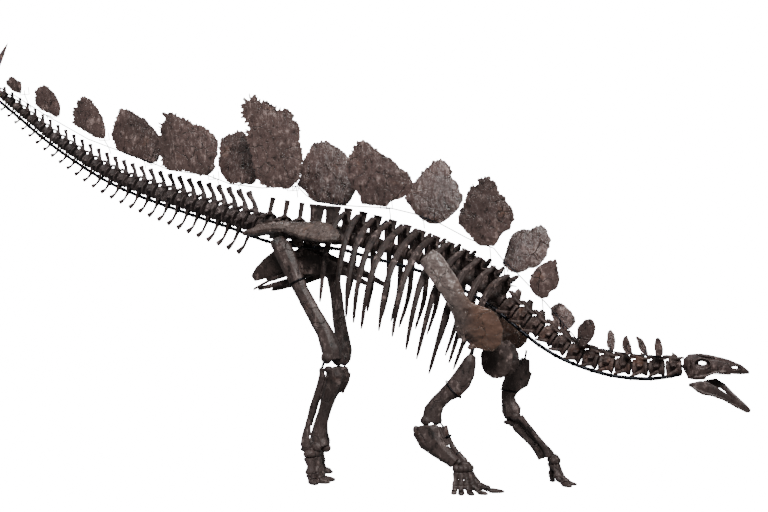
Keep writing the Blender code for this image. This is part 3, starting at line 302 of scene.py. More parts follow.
def pitting(finish, mottle):
    """1 in small round pits, which gather where the mottle is strong."""
    reach = finish.node("ShaderNodeTexVoronoi", {"feature": "F1"},
                        {"Vector": finish.place, "Scale": PIT_SCALE, "Randomness": 1.0})
    pits = 1.0 - finish.band(reach("Distance"), 0.10, 0.30)
    return pits * finish.band(mottle, 0.48, 0.62)


def cracking(finish, drift):
    """1 along thin wandering cracks, in some places only."""
    cloud = finish.node("ShaderNodeTexNoise", None,
                        {"Vector": finish.place, "Scale": WANDER_SCALE, "Detail": 4.0})
    shift = finish.node("ShaderNodeVectorMath", {"operation": "SCALE"},
                        {0: cloud("Color"), "Scale": WANDER})
    bent = finish.node("ShaderNodeVectorMath", {"operation": "ADD"},
                       {0: finish.place, 1: shift("Vector")})
    edge = finish.node("ShaderNodeTexVoronoi", {"feature": "DISTANCE_TO_EDGE"},
                       {"Vector": bent("Vector"), "Scale": CRACK_SCALE, "Randomness": 1.0})
    cracks = 1.0 - finish.band(edge("Distance"), 0.004, 0.030)
    return cracks * finish.band(drift, 0.46, 0.60)


def bone_finish(name, dark, body, pale, stain, stain_from, gloss, grain=(34.0, 34.0, 7.0),
                relief=0.0034, shine=0.20, rust_ahead=None):
    """Mineralised bone: mottled, grained lengthways, cracked, pitted, rubbed pale on its edges, with
    painted shade darkening its hollows.

    The stain lies where the drift passes stain_from and, if rust_ahead is given, ahead of that
    band of X. gloss is the middle roughness, relief the bump's depth and shine the specular level.
    """
    finish = Finish(name)
    broad = finish.noise(BROAD, 3.0)
    drift = finish.noise(DRIFT, 5.0, 0.6, warp=0.4)
    mottle = finish.noise(MOTTLE, 7.0, 0.66)
    grit = finish.noise(GRIT, 3.0, 0.6)
    streak = finish.noise(1.0, 5.0, 0.62, finish.stretched(*grain), 0.6)
    pit = pitting(finish, mottle)
    crack = cracking(finish, drift)
    point = finish.node("ShaderNodeNewGeometry")("Pointiness")
    worn = finish.band(point, 0.515, 0.60)
    # painted shade: hollow marks the concave places (low pointiness), which are darkened below as if
    # shade fell in them
    hollow = 1.0 - finish.band(point, 0.40, 0.495)

    colour = finish.ramp(mottle * 0.45 + streak * 0.35 + drift * 0.20,
                         (0.40, dark), (0.47, body), (0.53, body), (0.61, pale))
    stained = finish.band(drift, stain_from, stain_from + 0.16)
    colour = finish.mix(stained * 0.8, colour, opaque(stain))
    if rust_ahead:
        ahead = finish.node("ShaderNodeSeparateXYZ", None, {0: finish.place})("X")
        rusted = finish.band(ahead + drift * 0.16, *rust_ahead)
        colour = finish.mix(rusted * 0.85, colour, opaque(stain))
    shade = finish.ramp(broad, (0.34, grey(0.62)), (0.66, grey(1.32)))
    colour = finish.mix(1.0, colour, shade, "MULTIPLY")
    colour = finish.mix(worn * 0.65 * finish.band(grit, 0.30, 0.65), colour, opaque(pale))
    # the colour darkened to a third: real dirt in the cracks and pits, and painted shade in the
    # hollows
    soil_and_shade = finish.mix(1.0, colour, opaque(grey(0.30)), "MULTIPLY")
    cracks_and_shade = finish.node("ShaderNodeMath", {"operation": "MAXIMUM"},
                       {0: hollow * 0.75, 1: crack * 0.85})("Value")
    colour = finish.mix(cracks_and_shade, colour, soil_and_shade)
    colour = finish.mix(pit * 0.55, colour, soil_and_shade)

    rough = gloss + (mottle - 0.5) * 0.35 + cracks_and_shade * 0.25 - worn * 0.06
    height = mottle * 0.55 + streak * 0.45 + grit * 0.16 - crack * 0.75 - pit * 0.40
    finish.set(Base_Color=colour, Roughness=finish.band(rough, 0.0, 1.0) * 0.75 + 0.12,
               Normal=finish.bump(height, relief))
    finish.set(Specular_IOR_Level=shine)
    return finish.material


def steel_finish(name, colour, rust):
    """Blackened steel with a thin coat, rubbed bright in places and touched with rust."""
    finish = Finish(name)
    cloud = finish.noise(30.0, 5.0, 0.6)
    grit = finish.noise(420.0, 2.0)
    drawn = finish.noise(1.0, 3.0, 0.5, finish.stretched(60.0, 600.0, 600.0))
    spots = finish.band(cloud, 0.58, 0.72)
    dull = tuple(channel * 0.55 for channel in colour)
    bright = tuple(min(1.0, channel * 1.7) for channel in colour)
    tone = finish.ramp(cloud * 0.7 + drawn * 0.3, (0.30, dull), (0.55, colour), (0.80, bright))
    finish.set(Base_Color=finish.mix(spots * 0.55, tone, opaque(rust)),
               Roughness=0.30 + cloud * 0.25 + spots * 0.2,
               Metallic=1.0 - spots * 0.7,
               Normal=finish.bump(grit * 0.5 + cloud * 0.5, 0.0004))
    return finish.material


# ---- mesh tools -----------------------------------------------------------------------------
def blend(pair, share):
    """The value at a share of the way from the pair's first to its last."""
    return pair[0] + (pair[1] - pair[0]) * share


def catmull(a, b, c, d, t):
    """The point at t on the smooth curve from b to c, with a and d as their neighbours."""
    return 0.5 * (2 * b + (c - a) * t + (2 * a - 5 * b + 4 * c - d) * t * t
                  + (3 * b - a - 3 * c + d) * t ** 3)


def through(points, fine):
    """Points closely spaced on a smooth line through the given ones."""
    points = [Vector(p) for p in points]
    ends = [2 * points[0] - points[1]] + points + [2 * points[-1] - points[-2]]
    line = []
    for k in range(1, len(ends) - 2):
        for step in range(fine):
            line.append(catmull(*ends[k - 1:k + 3], step / fine))
    line.append(ends[-2])
    return line


TRACK_FINE = 12
TRACK_STEP = 0.004             # share of the length over which a direction is taken


class Track:
    """A smooth line that gives position and direction at a share of its length."""

    def __init__(self, points):
        self.line = through(points, TRACK_FINE)
        self.length = [0.0]
        for a, b in zip(self.line, self.line[1:]):
            self.length.append(self.length[-1] + (b - a).length)

    def at(self, share):
        goal = min(max(share, 0.0), 1.0) * self.length[-1]
        k = 0
        while k < len(self.line) - 2 and self.length[k + 1] < goal:
            k += 1
        span = self.length[k + 1] - self.length[k]
        return self.line[k].lerp(self.line[k + 1], (goal - self.length[k]) / span)

    def along(self, share):
        ahead = self.at(share + TRACK_STEP)
        return (ahead - self.at(share - TRACK_STEP)).normalized()

    def share_at(self, x):
        """The share of the length at which the line passes x, or its nearer end."""
        for k in range(len(self.line) - 1):
            a, b = self.line[k], self.line[k + 1]
            if min(a.x, b.x) <= x <= max(a.x, b.x):
                part = (x - a.x) / (b.x - a.x)
                return (self.length[k] + part * (b - a).length) / self.length[-1]
        return 0.0 if abs(x - self.line[0].x) < abs(x - self.line[-1].x) else 1.0


class Place:
    """A vertebra's own frame: a runs towards the tail, s to a side and u up."""

    def __init__(self, centre, along):
        self.centre = centre
        self.along = along
        self.up = SIDE.cross(along)

    def __call__(self, a, s, u):
        return self.centre + self.along * a + SIDE * s + self.up * u

    def scaled(self, long, wide):
        """The same frame in shares: a in lengths of the vertebra, s and u in its half widths."""
        return lambda a, s, u: self(a * long, s * wide, u * wide)


COLUMN = Track([(x, 0.0, z) for x, z in COLUMN_LINE])


class Run:
    """A run of vertebrae between two places on the column."""

    def __init__(self, from_x, to_x, count):
        self.start = COLUMN.share_at(from_x)
        self.step = (COLUMN.share_at(to_x) - self.start) / count
        self.long = abs(self.step) * COLUMN.length[-1]

    def place(self, index):
        share = self.start + self.step * index
        return Place(COLUMN.at(share), COLUMN.along(share))


def turned(centre, direction, hint, half_u, half_v):
    """Matrix of a section square to a direction, half_u along the hint and half_v across it."""
    w = direction.normalized()
    u = hint - w * hint.dot(w)
    if u.length < 1e-5:
        u = w.orthogonal()
    u.normalize()
    v = w.cross(u)
    return Matrix(((u.x * half_u, v.x * half_v, w.x, centre.x),
                   (u.y * half_u, v.y * half_v, w.y, centre.y),
                   (u.z * half_u, v.z * half_v, w.z, centre.z), (0.0, 0.0, 0.0, 1.0)))


def rod(bm, stations, hint=SIDE, sides=10):
    """A closed form lofted through stations (point, half along the hint, half across it)."""
    points = [Vector(station[0]) for station in stations]
    places = []
    for k, (_, half_u, half_v) in enumerate(stations):
        ahead = points[min(k + 1, len(points) - 1)] - points[max(k - 1, 0)]
        places.append(turned(points[k], ahead, hint, half_u, half_v))
    made = bmesh.ops.create_cone(bm, cap_ends=True, segments=sides, radius1=1.0, radius2=1.0,
                                 depth=2.0)["verts"]
    top = {vert for vert in made if vert.co.z > 0.0}
    for vert in made:
        end = places[1] if vert in top else places[0]
        vert.co = end @ Vector((vert.co.x, vert.co.y, 0.0))
    face = next(f for vert in made if vert in top for f in vert.link_faces if set(f.verts) == top)
    for before, after in zip(places[1:], places[2:]):
        face = bmesh.ops.extrude_discrete_faces(bm, faces=[face])["faces"][0]
        bmesh.ops.transform(bm, matrix=after @ before.inverted(), verts=face.verts)


def ball(bm, centre, size):
    """An ellipsoid with half sizes along X, Y and Z."""
    matrix = Matrix.Translation(centre) @ Matrix.Diagonal((*size, 1.0))
    bmesh.ops.create_icosphere(bm, subdivisions=2, radius=1.0, matrix=matrix)


MERGE = 0.00005                # doubled vertices of the solids lie closer than this
FLAT = math.radians(0.5)       # faces that meet at less than this become one


def node_form(*names):
    """The solids of CAD nodes as one bmesh in the layout's place, with their doubles merged."""
    bm = bmesh.new()
    for name in names:
        bm.from_mesh(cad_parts[name].data)
    bmesh.ops.remove_doubles(bm, verts=bm.verts, dist=MERGE)
    bmesh.ops.dissolve_limit(bm, angle_limit=FLAT, verts=bm.verts, edges=bm.edges)
    bmesh.ops.translate(bm, vec=-SHIFT, verts=bm.verts)
    return bm


def settle(obj):
    """The mesh that an object's modifiers give; the object is then removed."""
    graph = bpy.context.evaluated_depsgraph_get()
    mesh = bpy.data.meshes.new_from_object(obj.evaluated_get(graph))
    bpy.data.objects.remove(obj)
    return mesh


def lump_texture(name, size, depth):
    texture = bpy.data.textures.new(name, "CLOUDS")
    texture.noise_scale = size
    texture.noise_depth = depth
    return texture


LUMPS = lump_texture("lumps", 0.050, 2)
CHIPS = lump_texture("chips", 0.012, 2)
KEPT_FACES = 0.60              # share of the faces that the thinning keeps


def carve(bm, voxel, soften=3, lumps=0.004, chips=0.0015):
    """One skin over every form in the bmesh, softened, roughened like old bone, then thinned."""
    mesh = bpy.data.meshes.new("carving")
    bm.to_mesh(mesh)
    bm.free()
    obj = bpy.data.objects.new("carving", mesh)
    bpy.context.scene.collection.objects.link(obj)
    skin = obj.modifiers.new("skin", "REMESH")
    skin.mode = "VOXEL"
    skin.voxel_size = voxel
    soft = obj.modifiers.new("soft", "SMOOTH")
    soft.factor = 0.5
    soft.iterations = soften
    for texture, depth in ((LUMPS, lumps), (CHIPS, chips)):
        rough = obj.modifiers.new(texture.name, "DISPLACE")
        rough.texture = texture
        rough.strength = depth
        rough.mid_level = 0.5
        rough.texture_coords = "LOCAL"
    thin = obj.modifiers.new("thin", "DECIMATE")
    thin.ratio = KEPT_FACES
    return settle(obj)


def joined(meshes):
    """One bmesh of several meshes, which are then removed."""
    bm = bmesh.new()
    for mesh in meshes:
        bm.from_mesh(mesh)
        bpy.data.meshes.remove(mesh)
    return bm


def piece(source, name, material, slot, *nodes):
    """Make a finished piece of a mesh or a bmesh, moved to the part's frame and kept in its box."""
    mesh = source
    if isinstance(source, bmesh.types.BMesh):
        mesh = bpy.data.meshes.new(name)
        source.to_mesh(mesh)
        source.free()
    mesh.name = name
    places = np.empty(len(mesh.vertices) * 3, dtype=np.float32)
    mesh.vertices.foreach_get("co", places)
    places = places.reshape(-1, 3) + np.array(SHIFT, dtype=np.float32)
    low = np.array(cad_low, dtype=np.float32) + INSET
    high = np.array(cad_high, dtype=np.float32) - INSET
    mesh.vertices.foreach_set("co", np.clip(places, low, high).ravel())
    mesh.polygons.foreach_set("use_smooth", [True] * len(mesh.polygons))
    mesh.materials.clear()
    mesh.materials.append(material)
    mesh.update()
    obj = bpy.data.objects.new(name, mesh)
    bpy.context.scene.collection.objects.link(obj)
    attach(obj, "root")
    if nodes:
        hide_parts(*nodes)
    return obj


# ---- plates ---------------------------------------------------------------------------------
def plate_side(index):
    """The plates stand by turns on the right and on the left."""
    return RIGHT if index % 2 == 1 else LEFT


EDGE_STEP = 0.0055             # spacing of the points along a plate's edge
EDGE_SCALE = 38.0              # waves of the chipping per metre
STRAIGHT = 0.45                # 0 follows a smooth curve through the outline, 1 its straight sides


def rounded(outline):
    """Close points (forward, up) in metres round an outline in mm."""
    points = [Vector((a / 1000, b / 1000)) for a, b in outline]
    count = len(points)
    made = []
    for k in range(count):
        corners = [points[(k + j) % count] for j in (-1, 0, 1, 2)]
        fine = max(2, round((corners[2] - corners[1]).length / EDGE_STEP))
        for step in range(fine):
            t = step / fine
            made.append(catmull(*corners, t).lerp(corners[1].lerp(corners[2], t), STRAIGHT))
    return made


def ragged(outline, depth, seed, spikes):
    """The rounded outline, chipped all along and torn into spikes towards the top and rear."""
    made = rounded(outline)
    tallest = max(b for _, b in outline) / 1000
    chipped = []
    for k, point in enumerate(made):
        along = made[(k + 1) % len(made)] - made[k - 1]
        out = Vector((along.y, -along.x)).normalized()
        spot = Vector((point.x * EDGE_SCALE, point.y * EDGE_SCALE, seed * 7.3))
        chip = noise.noise(spot) + 0.6 * noise.noise(spot * 2.7)
        torn = max(0.0, 0.55 - 2.2 * abs(noise.noise(spot * 1.9 + AHEAD * 40.0)))
        where = 0.25 + 0.75 * min(1.0, max(0.0, (point.y / tallest - 0.25) * 1.6))
        where *= 1.25 if point.x < 0.0 else 0.70
        chipped.append(point + out * (depth * chip + spikes * where * torn))
    return chipped


def edge_distance(places, outline):
    """Distance of each (forward, up) place from the outline."""
    best = np.full(len(places), 1e9)
    for k, point in enumerate(outline):
        a = np.array(outline[k - 1])
        run = np.array(point) - a
        share = ((places - a) @ run) / max(float(run @ run), 1e-12)
        nearest = a + np.clip(share, 0.0, 1.0)[:, None] * run
        best = np.minimum(best, np.linalg.norm(places - nearest, axis=1))
    return best


# how torn each plate's edge is, where it differs from the rest
TORN = {1: 0.7, 2: 1.3, 3: 1.8, 5: 2.6, 6: 1.8, 7: 3.0, 9: 1.8, 11: 1.6, 14: 0.6, 15: 0.2, 16: 0.2,
        17: 0.1, 18: 0.1, 19: 0.1}


SLAB = 0.012                   # half thickness of the slab that a plate is shaped from


def slab_mesh(edge, voxel):
    """A flat slab with the given edge, as an even net of faces."""
    bm = bmesh.new()
    face = bm.faces.new([bm.verts.new((a, b, -SLAB)) for a, b in edge])
    top = bmesh.ops.extrude_face_region(bm, geom=[face])["geom"]
    bmesh.ops.translate(bm, vec=(0.0, 0.0, 2 * SLAB),
                        verts=[v for v in top if isinstance(v, bmesh.types.BMVert)])
    bmesh.ops.recalc_face_normals(bm, faces=bm.faces)
    return carve(bm, voxel, 1, 0.0, 0.0)


def plate_axes(lean, side):
    """Forward, rise and normal of a plate that leans in its plane and splays to its side."""
    angle = math.radians(lean)
    rise = Vector((math.sin(angle), 0.0, math.cos(angle))) * math.cos(PLATE_SPLAY)
    rise = (rise + SIDE * side * math.sin(PLATE_SPLAY)).normalized()
    forward = Vector((math.cos(angle), 0.0, -math.sin(angle)))
    return forward, rise, forward.cross(rise)


def plate_relief(index, height, a, b, c, foot):
    """How far a plate's side stands out: fanned grooves, roughness and pocks."""
    spot = Vector((a, b, 0.11 * index + (0.5 if c > 0 else 0.0)))
    fan = Vector((math.atan2(a, b + 0.25 * height) * 11.0, b * 5.0, spot.z * 9.0))
    groove = abs(noise.noise(fan)) - 0.22
    rough = noise.turbulence(spot * 26.0, 3, False) - 0.5
    pock = max(0.0, noise.noise(spot * 17.0) - 0.30)
    return 0.0034 * groove + 0.0016 * rough - 0.005 * pock + 0.004 * foot * rough


def plate_mesh(index, spec):
    """Armour plate: thin ragged rim, swollen and grooved sides, thick pitted foot."""
    (x, z, lean), outline = spec
    side = plate_side(index)
    height = max(b for _, b in outline) / 1000
    edge = ragged(outline, 0.0035 + 0.006 * height, index,
                  (0.012 + 0.030 * height) * TORN.get(index, 1.0))
    mesh = slab_mesh(edge, 0.0031 + 0.0022 * height)
    places = np.empty(len(mesh.vertices) * 3)
    mesh.vertices.foreach_get("co", places)
    places = places.reshape(-1, 3)
    inside = edge_distance(places[:, :2], edge)
    inner = 1.0 - np.exp(-inside / (0.10 * height + 0.006))
    foot = np.clip(1.0 - places[:, 1] / (0.30 * height), 0.0, 1.0)
    half = PLATE_RIM + PLATE_SWELL * height * inner * (0.62 + 0.55 * foot)
    reach = np.clip(places[:, 2] / (SLAB * 0.9), -1.0, 1.0) * half
    for k, (a, b, c) in enumerate(places):
        depth = plate_relief(index, height, a, b, c, foot[k])
        reach[k] += math.copysign(1.0, c) * depth * min(1.0, inside[k] / 0.012)
    forward, rise, normal = (np.array(axis) for axis in plate_axes(lean, side))
    root = np.array((x, side * PLATE_OUT, z))
    made = root + places[:, :1] * forward + places[:, 1:2] * rise + reach[:, None] * normal
    mesh.vertices.foreach_set("co", made.ravel())
    return mesh


# ---- vertebrae ------------------------------------------------------------------------------
TAIL_VOXEL = ((0.35, 0.0042), (0.67, 0.0034), (1.00, 0.0028))   # up to a share of the tail
SACRUM_VOXEL = 0.0040
BACK_VOXEL = 0.0036
RIB_VOXEL = 0.0034
NECK_VOXEL = 0.0032

# profile of a centrum: share of its length, share of its half width
SPOOL = ((-0.465, 0.86), (-0.425, 0.99), (-0.34, 0.98), (-0.17, 0.80), (0.0, 0.75),
         (0.17, 0.80), (0.34, 0.98), (0.425, 0.99), (0.465, 0.86))


def spool(bm, at, long, across, tall, sides=16):
    """Centrum: a waisted drum with raised rims."""
    rod(bm, [(at(t * long, 0.0, 0.0), across * w, tall * w) for t, w in SPOOL], SIDE, sides)


def links(bm, at, long, radius, height, spread):
    """The two pairs of prongs that lap over the next vertebrae, ahead and behind."""
    for s in (-1, 1):
        rod(bm, [(at(-0.12 * long, s * spread * 0.90, height * 0.86), 0.30 * radius, 0.26 * radius),
                 (at(-0.40 * long, s * spread, height), 0.24 * radius, 0.20 * radius),
                 (at(-0.66 * long, s * spread * 0.95, height * 1.10), 0.20 * radius, 0.10 * radius)])
        rod(bm, [(at(0.12 * long, s * spread * 0.50, height * 1.04), 0.26 * radius, 0.24 * radius),
                 (at(0.34 * long, s * spread * 0.60, height * 1.10), 0.22 * radius, 0.18 * radius),
                 (at(0.56 * long, s * spread * 0.62, height * 1.16), 0.16 * radius, 0.10 * radius)])


def tail_radius(share):
    return blend(TAIL_RADIUS, share ** 0.90)


TAIL = Run(TAIL_FROM, COLUMN_LINE[-1][0], TAIL_COUNT)


def tail_spine(bm, index, share, radius):
    """Spine that leans to the rear, thin in the middle, with a swollen end."""
    at = TAIL.place(index + 0.5)
    rear = TAIL.place(index + 0.62)
    height = blend(TAIL_SPINE, share ** 0.85)
    top = rear(height * blend(TAIL_LEAN, share), 0.0, height)
    foot = at(0.06 * TAIL.long, 0.0, radius * 1.05)
    long = 0.0235 * (1.14 - 0.7 * share)
    thick = 0.0120 - 0.005 * share
    rod(bm, [(at(0.0, 0.0, radius * 0.55), radius * 0.50, TAIL.long * 0.32),
             (at(0.03 * TAIL.long, 0.0, radius * 1.08), radius * 0.36, TAIL.long * 0.27),
             (foot.lerp(top, 0.22) - rear.along * height * 0.06, thick * 0.95, long * 0.82),
             (foot.lerp(top, 0.50) - rear.along * height * 0.08, thick * 0.75, long * 0.62),
             (foot.lerp(top, 0.78), thick * 0.90, long * 0.80),
             (foot.lerp(top, 0.93), thick * 1.35, long * 0.98),
             (top, thick * 1.10, long * 0.80)])


def tail_vertebra(index):
    share = (index + 0.5) / TAIL_COUNT
    radius = tail_radius(share)
    at = TAIL.place(index + 0.5)
    spot = at.scaled(TAIL.long, 1.0)
    bm = bmesh.new()
    spool(bm, at, TAIL.long * 0.78, radius * 0.95, radius)
    tail_spine(bm, index, share, radius)
    links(bm, at, TAIL.long, radius * 0.75, radius * 1.20, radius * 0.34)
    if index < CHEVRON_LAST:
        chevron(bm, TAIL.place(index + 0.62), radius, blend(TAIL_CHEVRON, share), share)
    reach = radius * 1.05
    if index < TAIL_PROCESS_COUNT:
        reach = radius + TAIL_PROCESS * (1.1 - index / TAIL_PROCESS_COUNT)
    wide = 0.016 * (1.1 - share)
    for s in (-1, 1):
        middle = radius * 0.55 + reach * 0.45
        rod(bm, [(spot(0.0, s * radius * 0.60, radius * 0.16), wide * 1.5, wide * 1.1),
                 (spot(-0.06, s * middle, radius * 0.02), wide, wide * 0.62),
                 (spot(-0.10, s * reach, -radius * 0.10), wide * 0.85, wide * 0.50)], AHEAD)
    voxel = next(size for limit, size in TAIL_VOXEL if share < limit)
    return carve(bm, voxel, 3, 0.0040 * (1.1 - share), 0.0018)


def chevron(bm, rear, radius, length, share):
    """Haemal arch: two legs that straddle the bar, one shaft, and a clubbed foot."""
    axis = (rear.along * (0.14 + 0.18 * share) - rear.up * 0.96).normalized()
    hook = rear.along * length * 0.16
    root = rear(0.0, 0.0, -radius * 0.86)
    thick = 0.0098 * (1.12 - 0.5 * share)
    fork = root + axis * min(0.055, length * 0.45)
    for s in (-1, 1):
        start = root + SIDE * s * 0.021 + rear.up * 0.010
        middle = start.lerp(fork, 0.5) + SIDE * s * 0.004
        rod(bm, [(start, thick * 0.90, thick * 1.30), (middle, thick * 0.75, thick * 0.95),
                 (fork, thick * 0.80, thick)])
    tip = root + axis * length * (1.0 - share * 0.1)
    rod(bm, [(fork - axis * 0.006, thick, thick * 1.15),
             (root + axis * length * 0.66, thick * 0.72, thick * 0.95),
             (root + axis * length * 0.86 + hook * 0.5, thick * 0.90, thick * 1.50),
             (tip + hook, thick * 0.80, thick * 1.85),
             (tip + axis * 0.004 + hook * 1.1, thick * 0.40, thick * 1.10)])


def dorsal_vertebra(run, index):
    """Centrum, tall arch, broad thin spine and the side processes that carry the ribs."""
    share = (index + 0.5) / TRUNK_COUNT
    at = run.place(index + 0.5)
    bm = bmesh.new()
    spool(bm, at, run.long, TRUNK_RADIUS * 0.92, TRUNK_RADIUS * 0.95)
    rod(bm, [(at(0.0, 0.0, 0.028), 0.026, run.long * 0.34),
             (at(0.0, 0.0, 0.066), 0.022, run.long * 0.40),
             (at(0.0, 0.0, 0.104), 0.024, run.long * 0.42)])
    top = run.place(index + 0.6)(0.0, 0.0, blend(TRUNK_SPINE, share))
    foot = at(0.05 * run.long, 0.0, 0.096)
    rod(bm, [(foot, 0.012, 0.030), (foot.lerp(top, 0.4), 0.0060, 0.026),
             (foot.lerp(top, 0.82), 0.0065, 0.030), (top - at.up * 0.006, 0.0115, 0.034),
             (top, 0.0080, 0.030)])
    links(bm, at, run.long, 0.030, 0.112, 0.016)
    tip = run.place(index + 0.4)
    for s in (-1, 1):
        rod(bm, [(at(0.0, s * 0.010, 0.098), 0.022, 0.015),
                 (at(0.0, s * 0.045, 0.118), 0.016, 0.009),
                 (tip(0.0, s * RIB_TOP_OUT * 0.80, RIB_TOP_RISE * 0.93), 0.015, 0.009),
                 (tip(0.0, s * RIB_TOP_OUT * 1.01, RIB_TOP_RISE * 1.01), 0.017, 0.012)], AHEAD)
        ball(bm, at(-0.15 * run.long, s * 0.034, 0.060), (0.013, 0.010, 0.014))
    return carve(bm, BACK_VOXEL, 3, 0.0036, 0.0018)


def rib_line(top, index, side):
    """The rib's course from its top, out to its bulge and down to its end."""
    points = []
    for drop, out, back in zip(RIB_DROP, RIB_OUT, RIB_BACK):
        points.append(Vector((blend((top.x, RIB_END_X[index]), back),
                              side * blend((RIB_TOP_OUT, RIB_BULGE[index]), out),
                              blend((top.z, RIB_END_Z[index]), drop))))
    return points


def rib_mesh(run, index, side):
    """One rib: knob at the process, a head on the arch, and a T-shaped shaft that thins out."""
    points = rib_line(run.place(index + 0.4)(0.0, side * RIB_TOP_OUT, RIB_TOP_RISE), index, side)
    line = through(points, 5)
    last = len(line) - 1
    stations = []
    for k, point in enumerate(line):
        share = k / last * (len(RIB_WIDTH) - 1)
        low = min(int(share), len(RIB_WIDTH) - 2)
        wide = blend(RIB_WIDTH[low:low + 2], share - low)
        deep = blend(RIB_DEPTH[low:low + 2], share - low)
        wide *= 1.0 + 0.10 * noise.noise(Vector((point.x * 9.0, index * 3.1, point.z * 9.0)))
        end = 0.6 if k in (0, last) else 1.0
        stations.append((point, deep * end, wide * end))
    bm = bmesh.new()
    rod(bm, stations, SIDE, 8)
    keel = [(point + SIDE * side * deep * 0.75, deep * 0.75, wide * 0.34)
            for point, deep, wide in stations[2:-3]]
    rod(bm, keel, SIDE, 8)
    at = run.place(index + 0.5)
    rod(bm, [(points[0].lerp(points[1], 0.30), 0.008, 0.012),
             (at(-0.06 * run.long, side * 0.085, 0.098), 0.0065, 0.009),
             (at(-0.13 * run.long, side * 0.048, 0.066), 0.008, 0.010)], AHEAD)
    ball(bm, points[0], (0.013, 0.012, 0.012))
    return carve(bm, RIB_VOXEL, 2, 0.0030, 0.0014)


def sacral_vertebra(run, index):
    """Centrum, spine and the two side bars that reach the hip blade; the first spines are fused."""
    fused = index < FUSED_SPINES
    at = run.place(index + 0.5)
    bm = bmesh.new()
    rod(bm, [(at(t * run.long, 0.0, 0.0), SACRUM_RADIUS * w, SACRUM_RADIUS * w)
             for t, w in SACRUM_SPOOL], SIDE, 14)
    top = at(0.0, 0.0, SACRUM_SPINE)
    foot = at(0.0, 0.0, 0.055)
    wide = 0.059 if fused else 0.021
    rod(bm, [(at(0.0, 0.0, 0.030), 0.030, run.long * 0.42),
             (foot, 0.022, run.long * 0.38),
             (foot.lerp(top, 0.35), 0.0085, wide * 0.80),
             (foot.lerp(top, 0.80), 0.0090, wide * 0.90),
             (top - at.up * 0.008, 0.0140, wide),
             (top, 0.0105, wide * 0.90)])
    for s in (-1, 1):
        rod(bm, [(at(0.0, s * 0.030, 0.004), 0.034, 0.034),
                 (at(0.0, s * 0.070, 0.008), 0.020, 0.020),
                 (at(0.0, s * SACRAL_RIB, 0.004), 0.034, 0.024)], AHEAD)
        rod(bm, [(at(0.0, s * 0.006, 0.090), 0.030, 0.014),
                 (at(0.0, s * 0.070, 0.082), 0.020, 0.008),
                 (at(0.0, s * SACRAL_RIB, 0.058), 0.028, 0.010)], AHEAD)
    if fused:
        rod(bm, [(at(t * run.long, 0.0, SACRUM_SPINE - 0.012), 0.008, 0.014) for t in (-0.5, 0.5)])
    return carve(bm, SACRUM_VOXEL, 3, 0.0040, 0.0018)


def neck_vertebra(run, index):
    """Tall block with a hollow-sided arch, lapping prongs, short side ribs and a low spine."""
    share = (index + 0.5) / NECK_COUNT
    radius = blend(NECK_RADIUS, share)
    long = run.long
    at = run.place(index + 0.5)
    spot = at.scaled(long, radius)
    bm = bmesh.new()
    rod(bm, [(spot(t, 0.0, -0.16), radius * 0.86 * w, radius * 1.02 * w) for t, w in SPOOL],
        SIDE, 14)
    for s in (-1, 1):
        # a wall of the arch, a side process, a short rib, and a prong ahead and behind
        rod(bm, [(spot(0.05, s * 0.44, 0.45), radius * 0.26, long * 0.26),
                 (spot(0.0, s * 0.46, 1.06), radius * 0.22, long * 0.26)])
        rod(bm, [(spot(0.0, s * 0.45, 0.40), long * 0.26, radius * 0.28),
                 (spot(-0.04, s * 1.10, 0.22), long * 0.20, radius * 0.18),
                 (spot(-0.04, s * 1.30, 0.02), long * 0.16, radius * 0.16)], AHEAD)
        rod(bm, [(spot(-0.22, s * 0.80, -0.55), 0.012, 0.016),
                 (spot(-0.12, s * 1.12, -0.62), 0.012, 0.013),
                 (spot(0.18, s * 1.16, -0.92), 0.011, 0.011),
                 (spot(0.46, s * 1.12, -1.14), 0.008, 0.007)])
        rod(bm, [(spot(0.0, s * 0.42, 1.02), radius * 0.30, radius * 0.26),
                 (spot(-0.34, s * 0.50, 0.98), radius * 0.26, radius * 0.20),
                 (spot(-0.62, s * 0.52, 1.04), radius * 0.24, radius * 0.12)])
        rod(bm, [(spot(0.05, s * 0.34, 1.16), radius * 0.30, radius * 0.26),
                 (spot(0.36, s * 0.46, 1.30), radius * 0.26, radius * 0.20),
                 (spot(0.60, s * 0.50, 1.36), radius * 0.24, radius * 0.13)])
    top = run.place(index + 0.62)(0.0, 0.0, blend(NECK_SPINE, share ** 1.6))
    rod(bm, [(spot(0.0, 0.0, 0.98), radius * 0.58, long * 0.34),
             (spot(0.06, 0.0, 1.24), radius * 0.34, long * 0.30),
             (top - at.up * 0.014, 0.0120, 0.021), (top, 0.0095, 0.016)])
    return carve(bm, NECK_VOXEL, 3, 0.0046, 0.0020)


# ---- girdles and limbs ----------------------------------------------------------------------
def worked(node, name, material, slot, voxel, extra=(), soften=7, lumps=0.0045, chips=0.0018):
    """A bone drawn from its solid, softened, with its knobs and ridges added."""
    bm = node_form(node)
    for kind, values in extra:
        kind(bm, *values)
    return piece(carve(bm, voxel, soften, lumps, chips), name, material, slot, node)


# voxel size of each bone's skin, in metres
FINENESS = {"femur": 0.0042, "tibia": 0.0036, "fibula": 0.0028, "humerus": 0.0036,
            "ulna": 0.0030, "radius": 0.0028, "scapula": 0.0036, "sternal": 0.0034,
            "ilium": 0.0040, "pubis": 0.0032, "ischium": 0.0032}
SPIKE_VOXEL = 0.0034


def side_bone(bone, label, finish, slot, extra=(), **carving):
    """A bone of one side, as fine as its size asks for."""
    worked(f"{bone}_{label}", f"{bone}_bone_{label}", finish, slot, FINENESS[bone], extra,
           **carving)


def knob(side, x, z, out, size):
    """An ellipsoid swelling at a side-view place."""
    return ball, (Vector((x, side * out, z)), size)


def ridge(side, *stations):
    """A raised line through (x, z, out, half wide, half deep)."""
    return rod, ([(Vector((x, side * out, z)), wide, deep) for x, z, out, wide, deep in stations],)


